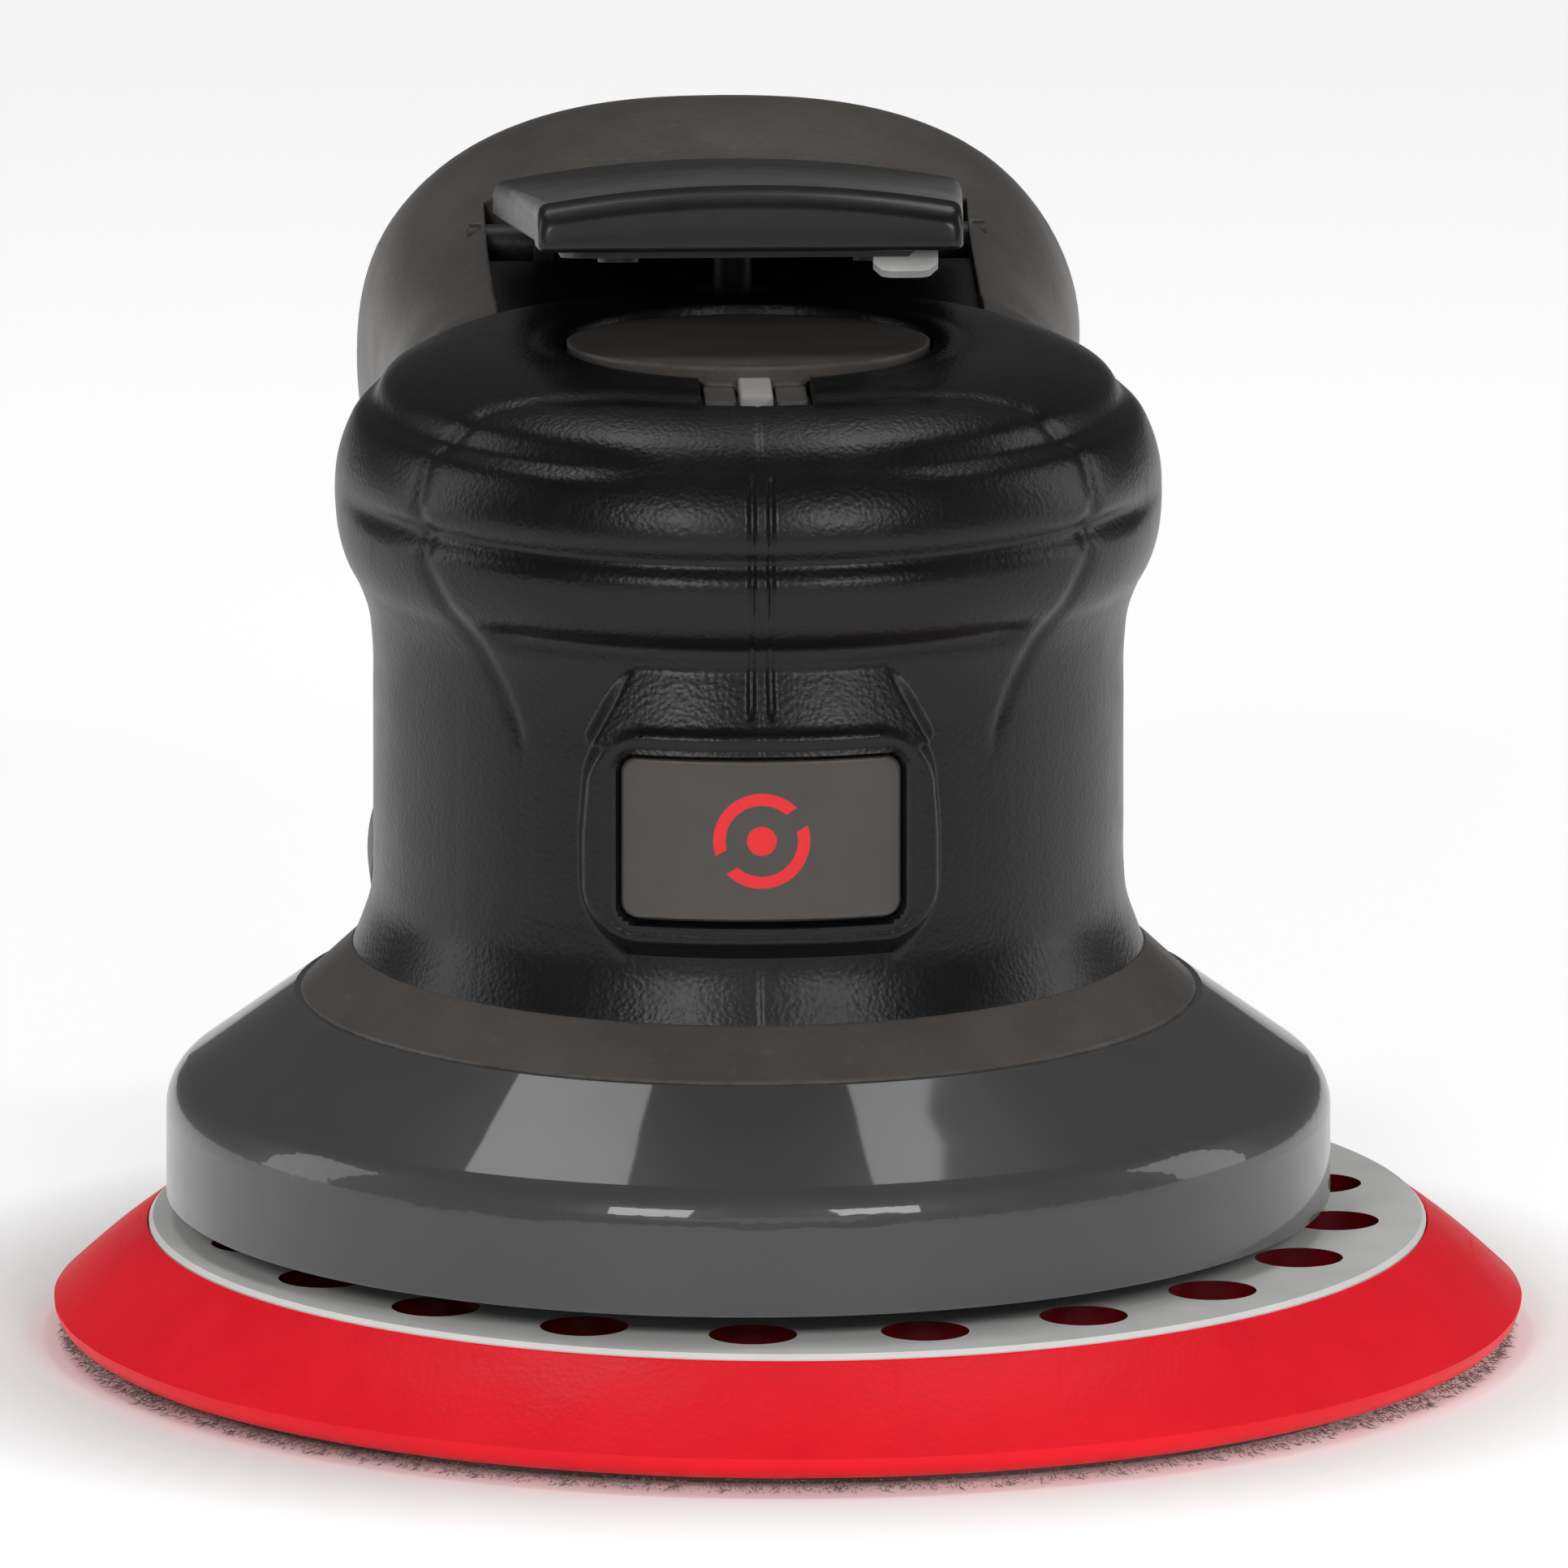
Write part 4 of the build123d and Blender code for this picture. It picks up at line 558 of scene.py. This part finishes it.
def makeBadge(settings):
    # rounded rectangle shrunk ring by ring to its centre and bent on the bezel's cylinder: y = -sqrt(R^2 - x^2)
    low, high = corners("badge_plate")
    halfX, halfZ = (high[0] - low[0]) / 2 - settings["gap"], (high[2] - low[2]) / 2 - settings["gap"]
    middleZ, outer = (low[2] + high[2]) / 2, -low[1]
    corner = settings["corner"]
    turn = np.linspace(0, math.pi / 2, 12)
    arc = np.stack([np.cos(turn), np.sin(turn)], -1)
    quarter = arc * corner + [halfX - corner, halfZ - corner]
    flatX = np.stack([np.linspace(halfX - corner, 0, 14)[1:], np.full(13, halfZ)], -1)
    flatZ = np.stack([np.full(9, halfX), np.linspace(0, halfZ - corner, 10)[:-1]], -1)
    first = np.r_[flatZ, quarter, flatX]
    second = first[::-1][1:] * [-1, 1]
    upper = np.r_[first, second]
    outline = np.r_[upper, upper[::-1][1:-1] * [1, -1]]
    bevel = settings["bevel"]
    bend = np.linspace(0, math.pi / 2, 5)
    rings = [(outline * [share, share], 1.0) for share in (0.0, 0.4, 0.8, 1.0)]
    for angle in bend:
        inset = bevel * (1 - math.cos(angle))
        rings.append((outline * [1 - inset / halfX, 1 - inset / halfZ], bevel * (1 - math.sin(angle))))
    inner = 1 - np.array([bevel / halfX, bevel / halfZ])
    rings += [(outline * inner * share, 0.0) for share in (0.93, 0.75, 0.5, 0.25, 0.0)]
    rows = []
    for flat, depth in rings:
        radius = outer - depth
        rows.append(np.stack([flat[:, 0], -np.sqrt(radius ** 2 - flat[:, 0] ** 2), middleZ + flat[:, 1]], -1))
    points = np.stack(rows)
    faces = gridFaces(len(rows), len(outline))
    return makePiece("badgeFace", points, faces, "housing", "badge_grey", ("badge_plate",), sharp=40,
                     finish=badgeFinish(settings, middleZ))


makeBadge(badgeSettings)

keySettings = dict(half=1.65, front=-27.6, back=-15.0, low=2.2, top=0.15, edge=0.3)


def makeKey(settings):
    # straight bar along y lying in the notch: a rounded box swept from its front face to the cap
    top = corners("rubber_grip")[1][2] + settings["top"] - 0.2
    bottom = top - settings["low"]
    edge, half = settings["edge"], settings["half"]
    turn = np.radians([0, 30, 60, 90])
    round = np.stack([half - edge + edge * np.cos(turn), top - edge + edge * np.sin(turn)], -1)
    section = np.r_[[[half, bottom]], round, round[::-1] * [-1, 1], [[-half, bottom]]]
    inner = section * [0.84, 1] - [0, 0.22]
    rows = [np.stack([inner[:, 0], inner[:, 0] * 0 + settings["front"], inner[:, 1]], -1),
            np.stack([section[:, 0], section[:, 0] * 0 + settings["front"] + 0.25, section[:, 1]], -1),
            np.stack([section[:, 0], section[:, 0] * 0 + settings["back"], section[:, 1]], -1)]
    points = np.stack(rows)
    count = len(section)
    faces = gridFaces(3, count).tolist() + [tuple(range(count)), tuple(range(2 * count, 3 * count))]
    # the key is given the lighter housing grey, a painted highlight
    return makePiece("notchKey", points, faces, "housing", "housing_grey", sharp=50, finish=finishes["key_pale"])


makeKey(keySettings)


# ---- throttle lever

leverSettings = dict(tilt=-9.5, pivotY=68.0, pivotZ=99.6, frontY=-77.5, rearY=-2.2, top=8.75, crown=2.1, skirt=2.05,
                     under=2.75, halfFront=21.6, halfRear=24.2, edge=1.1, brow=3.0, browDrop=1.5)


def leverFrame(settings, points):
    # lever's own axes turned by its rest tilt about the pivot line: y' = y c - z s, z' = y s + z c
    turn = math.radians(settings["tilt"])
    x, y, z = np.moveaxis(points, -1, 0)
    return np.stack([x, y * math.cos(turn) - z * math.sin(turn) + settings["pivotY"],
                     y * math.sin(turn) + z * math.cos(turn) + settings["pivotZ"]], -1)


def makeLever(settings):
    # closed sections along the lever: width grows evenly, top is a parabola in x, edges are superellipse corners
    low, high = corners("throttle_paddle")
    front, rear, edge = settings["frontY"], settings["rearY"], settings["edge"]
    ends = edge * (1 - np.cos(np.linspace(0, math.pi / 2, 8)))
    y = np.r_[front + ends, np.linspace(front + 1.4, rear - 1.4, 70), rear - ends[::-1]]
    share = (y - front) / (rear - front)
    near = np.clip(np.minimum(y - front, rear - y), 0, edge) / edge
    inset = edge * (1 - np.sqrt(1 - (1 - near) ** 2))
    half = settings["halfFront"] + (settings["halfRear"] - settings["halfFront"]) * share - inset
    brow = settings["browDrop"] * smoothStep(front + settings["brow"], front, y) ** 1.5
    lip = settings["skirt"] + (settings["under"] - settings["skirt"]) * smoothStep(front + 4.0, front + 7.5, y)
    across = np.linspace(-1, 1, 97)
    across = np.sin(across * math.pi / 2) * 0.35 + across * 0.65
    width = half[:, None] * across
    gap = half[:, None] * (1 - np.abs(across))
    soften = edge - np.sqrt(np.maximum(edge ** 2 - np.maximum(edge - gap, 0) ** 2, 0))
    over = settings["top"] - settings["crown"] * (width / settings["halfFront"]) ** 2 * 0.9 - brow[:, None]
    over = over - soften - inset[:, None]
    below = lip[:, None] + soften * 0.5 + inset[:, None] * 0.5 + width * 0
    rows = [np.stack([width, y[:, None] + width * 0, over], -1),
            np.stack([width, y[:, None] + width * 0, below], -1)[:, ::-1]]
    points = np.concatenate(rows, 1)
    faces = gridFaces(points.shape[0], points.shape[1], wrapColumns=True).tolist()
    total = points.shape[1]
    halfCount = total // 2
    for start in (0, (points.shape[0] - 1) * total):
        for k in range(halfCount - 1):
            faces.append((start + k, start + k + 1, start + total - 2 - k, start + total - 1 - k))
    return makePiece("leverPaddle", leverFrame(settings, points), faces, "lever", "lever_black",
                     ("throttle_paddle",), sharp=40)


makeLever(leverSettings)


tabSettings = dict(left=12.7, right=19.3, y=-70.3, top=2.0, fold=1.0, drop=2.3, thick=0.7)


def makeTab(tab, settings):
    # folded steel ear under the lever's right front: a strip bent through a quarter turn of radius r
    bend = np.linspace(0, math.pi / 2, 7)
    line = np.stack([tab["y"] + tab["fold"] * (1 - np.sin(bend)), tab["top"] - tab["fold"] * (1 - np.cos(bend))], -1)
    line = np.r_[[[tab["y"] + 5.0, tab["top"]]], line, [[tab["y"], tab["top"] - tab["drop"]]]]
    line = line[np.argsort(-line[:, 0], kind="stable")]
    inner = line + [tab["thick"], -tab["thick"]]
    section = np.r_[line, inner[::-1]]
    x = np.linspace(tab["left"], tab["right"], 9)
    cut = 0.9 * np.abs((x - x.mean()) / (x[-1] - x.mean())) ** 6
    points = np.stack([x[:, None] + section[:, 0] * 0, section[:, 0] + x[:, None] * 0,
                       section[:, 1] + cut[:, None] * (section[:, 1] < tab["top"] - 2)], -1)
    faces = gridFaces(len(x), len(section), wrapColumns=True).tolist()
    faces += [tuple(range(len(section))), tuple(range((len(x) - 1) * len(section), len(x) * len(section)))]
    # the tab's pale grey colour is a painted glint
    return makePiece("leverTab", leverFrame(settings, points), faces, "lever", "bearing_steel", sharp=30,
                     finish=finishes["tab_plated"])


makeTab(tabSettings, leverSettings)

# ---- screw heads under the tail

screwSettings = dict(along=(0.27, 0.8), across=29.0, probe=2.3,
                     profile=[(0.0, 0.5), (1.25, 0.5), (1.35, 1.3), (2.3, 1.3), (2.7, 1.0), (2.8, 0.6), (2.8, -0.8),
                              (0.0, -0.8)])


def makeScrewHeads(settings):
    # turned heads p + u r cos t + v r sin t + n h, standing on the cover's underside along its own normal n
    low, high = corners("tail_cover")
    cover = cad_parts["tail_cover"]
    profile = np.array(settings["profile"])
    turn = np.linspace(0, 2 * math.pi, 25)[:-1]
    heads, faces = [], []
    for share in settings["along"]:
        for side in (-1, 1):
            x, y = side * settings["across"], low[1] + (high[1] - low[1]) * share
            found = []
            for reach, way in ((settings["probe"], 0), (-settings["probe"], 0), (0, settings["probe"])):
                hit = cover.ray_cast(Vector((x + reach, y + way, 0)) * mm, Vector((0, 0, 1)))
                found.append(np.array(hit[1]) / mm)
            normal = np.cross(found[0] - found[1], found[2] - found[1])
            normal *= -np.sign(normal[2]) / np.linalg.norm(normal)
            first = np.cross(normal, [0, 1, 0])
            first /= np.linalg.norm(first)
            second = np.cross(normal, first)
            radius, height = profile[:, :1, None], profile[:, 1:, None]
            ring = radius * (first * np.cos(turn)[:, None] + second * np.sin(turn)[:, None]) + normal * height
            faces += gridFaces(len(profile), len(turn), first=len(heads) * len(profile) * len(turn)).tolist()
            heads.append((found[0] + found[1]) / 2 + ring)
    return makePiece("coverScrewHeads", np.array(heads), faces, "housing", "blackened_steel", ("cover_screws",),
                     sharp=35)


makeScrewHeads(screwSettings)

# ---- foam pad and its hook fringe

padSettings = dict(rimHeight=2.6, rimRound=3.4, sideBulge=0.35, topRound=0.9, seat=1.75, wave=0.10)


def makeFoam(settings):
    # turned outline r(s) with a soft belly on the slope; r is stirred by slow waves; dust holes are cut through
    low, high = corners("pad_foam")
    plateLow, plateHigh = corners("pad_plate")
    centreX, rim = (low[0] + high[0]) / 2, (high[0] - low[0]) / 2
    topR = (plateHigh[0] - plateLow[0]) / 2 + 0.15
    slope = np.linspace(0, 1, 46)
    reach = rim - topR
    bow = np.sin(slope * math.pi)
    sideR = rim - reach * slope + settings["sideBulge"] * bow
    sideZ = low[2] + settings["rimHeight"] + (high[2] - low[2] - settings["rimHeight"]) * slope
    turn = np.linspace(-math.pi / 2, 0.0, 10)[:-1]
    roundR = rim - settings["rimRound"] + settings["rimRound"] * np.cos(turn)
    roundZ = low[2] + settings["rimHeight"] * (1 + np.sin(turn))
    edge = np.array([[topR + 0.12, high[2] + 0.0], [topR, high[2] - 0.25], [topR, plateLow[2]]])
    inward = np.linspace(topR - 2, 10, 24)
    top = np.stack([inward, inward * 0 + plateLow[2]], -1)
    under = np.linspace(10, rim - settings["rimRound"] - 1.5, 24)
    bottom = np.stack([under, under * 0 + low[2]], -1)
    outline = np.concatenate([bottom, np.stack([roundR, roundZ], -1), np.stack([sideR, sideZ], -1), edge, top])
    phi = np.linspace(0, 2 * math.pi, 361)[:-1]
    r = outline[:, :1] + phi * 0
    z = outline[:, 1:] + phi * 0
    free = np.clip((r - topR) / 2.0, 0, 1)
    r = r + settings["wave"] * free * (np.sin(7 * phi + 0.6) * 0.5 + np.sin(17 * phi + z * 0.3) * 0.3
                                       + np.sin(41 * phi - z) * 0.2)
    points = np.stack([centreX + r * np.cos(phi), r * np.sin(phi), z], -1)
    faces = gridFaces(len(outline), len(phi), wrapRows=True)
    foam = makePiece("foamPad", points, faces, "pad", "foam_red", ("pad_foam",), sharp=60)
    return foam, centreX, rim


def cutHoles(piece, centreX, rings):
    # upright tubes x = c + R cos a + r cos t, cut out of the piece and applied
    turn = np.linspace(0, 2 * math.pi, 33)[:-1]
    tubes, faces, count = [], [], 0
    low, high = corners("pad_foam")
    for ring, holes, radius in rings:
        for hole in range(holes):
            around = 2 * math.pi * hole / holes + math.radians(dustTurn)
            x = centreX + ring * math.cos(around) + radius * np.cos(turn)
            y = ring * math.sin(around) + radius * np.sin(turn)
            for z in (low[2] - 3, high[2] + 3):
                tubes.append(np.stack([x, y, x * 0 + z], -1))
            base = count * 64
            faces += gridFaces(2, 32, first=base).tolist()
            faces += [tuple(range(base + 31, base - 1, -1)), tuple(range(base + 32, base + 64))]
            count += 1
    mesh = bpy.data.meshes.new("holeTubes")
    mesh.from_pydata((np.concatenate(tubes) * mm).tolist(), [], faces)
    cutter = bpy.data.objects.new("holeTubes", mesh)
    bpy.context.scene.collection.objects.link(cutter)
    cut = piece.modifiers.new("holes", "BOOLEAN")
    cut.operation, cut.solver, cut.object = "DIFFERENCE", "EXACT", cutter
    bpy.context.view_layer.update()
    ready = bpy.data.meshes.new_from_object(piece.evaluated_get(bpy.context.evaluated_depsgraph_get()))
    piece.modifiers.remove(cut)
    old = piece.data
    piece.data = ready
    ready.name = old.name
    bpy.data.meshes.remove(old)
    bpy.data.objects.remove(cutter)
    bpy.data.meshes.remove(mesh)
    ready.set_sharp_from_angle(angle=math.radians(50))
    print(piece.name, len(ready.polygons), "faces after its holes")


dustRings = [(56.0, 20, 4.5), (40.0, 14, 4.0), (26.0, 8, 3.5)]
dustTurn = -5.5
foamPad, padX, padRim = makeFoam(padSettings)
cutHoles(foamPad, padX, dustRings)

backingSettings = dict(inset=4.6, round=0.4)


def makeBacking(settings):
    # flat disc turned about the pad's axis with a quarter-round lower rim; dust holes are cut through
    low, high = corners("hook_face")
    rim, edge = (high[0] - low[0]) / 2 - settings["inset"], settings["round"]
    bend = np.linspace(-math.pi / 2, 0, 6)
    inward = np.linspace(2, rim - edge - 0.3, 20)
    outline = np.concatenate([
        np.stack([inward, inward * 0 + low[2] + 0.05], -1),
        np.stack([rim - edge + edge * np.cos(bend), low[2] + 0.05 + edge * (1 + np.sin(bend))], -1),
        np.stack([np.r_[rim, inward[::-1]], np.r_[high[2], inward * 0 + high[2]]], -1)])
    phi = np.linspace(0, 2 * math.pi, 241)[:-1]
    points = np.stack([padX + outline[:, :1] * np.cos(phi), outline[:, :1] * np.sin(phi),
                       outline[:, 1:] + phi * 0], -1)
    faces = gridFaces(len(outline), len(phi), wrapRows=True)
    return makePiece("hookBacking", points, faces, "pad", "hook_fibre", ("hook_face",), sharp=50)


cutHoles(makeBacking(backingSettings), padX, dustRings)

fringeSettings = dict(count=8000, seed=7, length=(0.4, 1.4), thick=0.055, inset=2.8, rim=0.5)


def makeFringe(settings):
    # thousands of three-sided hooks round the backing's edge: each a line p + d s + g s^2 with three short rings
    low, high = corners("hook_face")
    random = np.random.default_rng(settings["seed"])
    count = settings["count"]
    angle = random.uniform(0, 2 * math.pi, count)
    root = (high[0] - low[0]) / 2 - settings["rim"] - random.uniform(0, settings["inset"], count) ** 1.4 * 0.8
    height = low[2] + random.uniform(0.02, 1.0, count) * (high[2] - low[2])
    clump = 0.6 + 0.4 * np.sin(angle * 143 + 2 * np.sin(angle * 31))
    length = random.uniform(*settings["length"], count) * clump
    outward = np.stack([np.cos(angle), np.sin(angle), angle * 0], -1)
    along = np.stack([-np.sin(angle), np.cos(angle), angle * 0], -1)
    lean = random.normal(0, 0.5, (count, 1))
    dip = random.uniform(-0.75, 0.25, (count, 1))
    heading = outward + along * lean + np.array([0, 0, 1.0]) * dip
    heading /= np.linalg.norm(heading, axis=1, keepdims=True)
    curl = along * random.normal(0, 0.5, (count, 1)) + np.array([0, 0, 1.0]) * random.uniform(-0.5, 0.6, (count, 1))
    start = outward * root[:, None] + np.array([(low[0] + high[0]) / 2, 0, 0]) + np.array([0, 0, 1.0]) * height[:, None]
    sides = np.cross(heading, along)
    rings = []
    for share, width in ((0.0, 1.0), (0.5, 0.85), (1.0, 0.3)):
        spine = start + heading * (length * share)[:, None] + curl * (length * share ** 2 * 0.6)[:, None]
        spine[:, 2] = np.clip(spine[:, 2], low[2] + 0.08, None)
        for turn in (0, 2.0944, 4.18879):
            rings.append(spine + (sides * math.cos(turn) + along * math.sin(turn)) * settings["thick"] * width)
    points = np.stack(rings, 1)
    points[..., 2] = np.clip(points[..., 2], low[2] + 0.01, None)
    one = np.array([[0, 1, 4, 3], [1, 2, 5, 4], [2, 0, 3, 5], [3, 4, 7, 6], [4, 5, 8, 7], [5, 3, 6, 8]])
    faces = (one[None] + 9 * np.arange(count)[:, None, None]).reshape(-1, 4)
    return makePiece("hookFringe", points, faces, "pad", "hook_fibre", sharp=180)


makeFringe(fringeSettings)


# ---- stage, lights and camera

stageSettings = dict(floorRadius=3.2, floorColour=(0.93, 0.93, 0.93), worldColour=(1.0, 1.0, 1.0), worldStrength=0.1, glow=0.5)


def makeFloor(settings):
    # flat disc under the pad: x, y = r cos t, r sin t with r growing as the square of its share
    share = np.linspace(0, 1, 9) ** 2 * settings["floorRadius"]
    turn = np.linspace(0, 2 * math.pi, 97)[:-1]
    radius, angle = np.meshgrid(share[1:], turn, indexing="ij")
    points = np.stack([radius * np.cos(angle), radius * np.sin(angle), radius * 0], -1).reshape(-1, 3)
    points = np.vstack([[[0, 0, 0]], points])
    rings, columns = radius.shape
    index = 1 + np.arange(rings * columns).reshape(rings, columns)
    around = np.roll(index, -1, 1)
    quads = np.stack([index[:-1], index[1:], around[1:], around[:-1]], -1).reshape(-1, 4)
    fan = np.stack([np.zeros(columns, int), index[0], around[0]], -1)
    mesh = bpy.data.meshes.new("floor")
    mesh.from_pydata(points.tolist(), [], quads.tolist() + fan.tolist())
    floor = bpy.data.objects.new("floor", mesh)
    bpy.context.scene.collection.objects.link(floor)
    material = bpy.data.materials.new("paleFloor")
    material.use_nodes = True
    tree = material.node_tree
    at = tree.nodes.new("ShaderNodeTexCoord").outputs["Object"]
    shader = tree.nodes["Principled BSDF"]
    cloud = noise(tree, at, 3.0, 2.0)
    pale = settings["floorColour"]
    tree.links.new(mixColour(tree, cloud, tuple(c * 0.985 for c in pale), pale), shader.inputs["Base Color"])
    shader.inputs["Roughness"].default_value = 0.6
    shader.inputs["Emission Color"].default_value = (1.0, 1.0, 1.0, 1.0)
    reach = tree.nodes.new("ShaderNodeVectorMath")
    reach.operation = "LENGTH"
    tree.links.new(at, reach.inputs[0])
    glow = stretch(tree, reach.outputs["Value"], 0.066, 0.1, 0.0, settings["glow"])
    tree.links.new(glow, shader.inputs["Emission Strength"])
    mesh.materials.append(material)


makeFloor(stageSettings)

world = bpy.data.worlds.new("studio")
world.use_nodes = True
background = world.node_tree.nodes["Background"]
background.inputs["Color"].default_value = (*stageSettings["worldColour"], 1.0)
background.inputs["Strength"].default_value = stageSettings["worldStrength"]
bpy.context.scene.world = world
bpy.context.scene.view_settings.view_transform = "Standard"

lightSettings = {
    # name: place (m), size across and up (m), watts
    "overheadLeft": ((-0.28, 0.3, 1.15), (0.34, 0.36), 1.9),
    "overheadRight": ((0.28, 0.3, 1.15), (0.34, 0.36), 1.9),
    "frontLeft": ((-0.6, -1.45, 0.82), (0.46, 0.42), 7.0),
    "frontRight": ((0.64, -1.43, 0.82), (0.46, 0.42), 7.0),
    "lowFill": ((0.0, -1.7, 0.4), (1.3, 0.3), 1.2),
    "sideLeft": ((-1.3, 0.25, 0.45), (0.5, 0.9), 3.5),
    "sideRight": ((1.3, 0.25, 0.45), (0.5, 0.9), 3.5),
}
aimPoint = Vector((0, 0, 0.06))
for name, (place, size, watts) in lightSettings.items():
    lamp = bpy.data.lights.new(name, "AREA")
    lamp.shape = "RECTANGLE"
    lamp.size, lamp.size_y = size
    lamp.energy = watts
    holder = bpy.data.objects.new(name, lamp)
    holder.location = place
    holder.visible_camera = False
    holder.rotation_euler = (aimPoint - Vector(place)).to_track_quat("-Z", "Y").to_euler()
    bpy.context.scene.collection.objects.link(holder)

cameraSettings = dict(distance=6.0, elevation=12.3, turned=1.913, lens=1350.6, right=0.00364, down=0.00265)


def makeCamera(settings):
    # camera on a ball about the tool's middle, aimed a little right of and below it
    e, a = math.radians(settings["elevation"]), math.radians(settings["turned"])
    away = Vector((-math.sin(a) * math.cos(e), -math.cos(a) * math.cos(e), math.sin(e)))
    right = Vector((math.cos(a), -math.sin(a), 0))
    up = right.cross(-away)
    target = aimPoint + right * settings["right"] - up * settings["down"]
    lens = bpy.data.cameras.new("camera")
    lens.lens = settings["lens"]
    lens.sensor_width = 36
    camera = bpy.data.objects.new("camera", lens)
    camera.location = target + away * settings["distance"]
    camera.rotation_euler = (-away).to_track_quat("-Z", "Y").to_euler()
    bpy.context.scene.collection.objects.link(camera)
    bpy.context.scene.camera = camera


makeCamera(cameraSettings)
print("stage, lights and camera set")
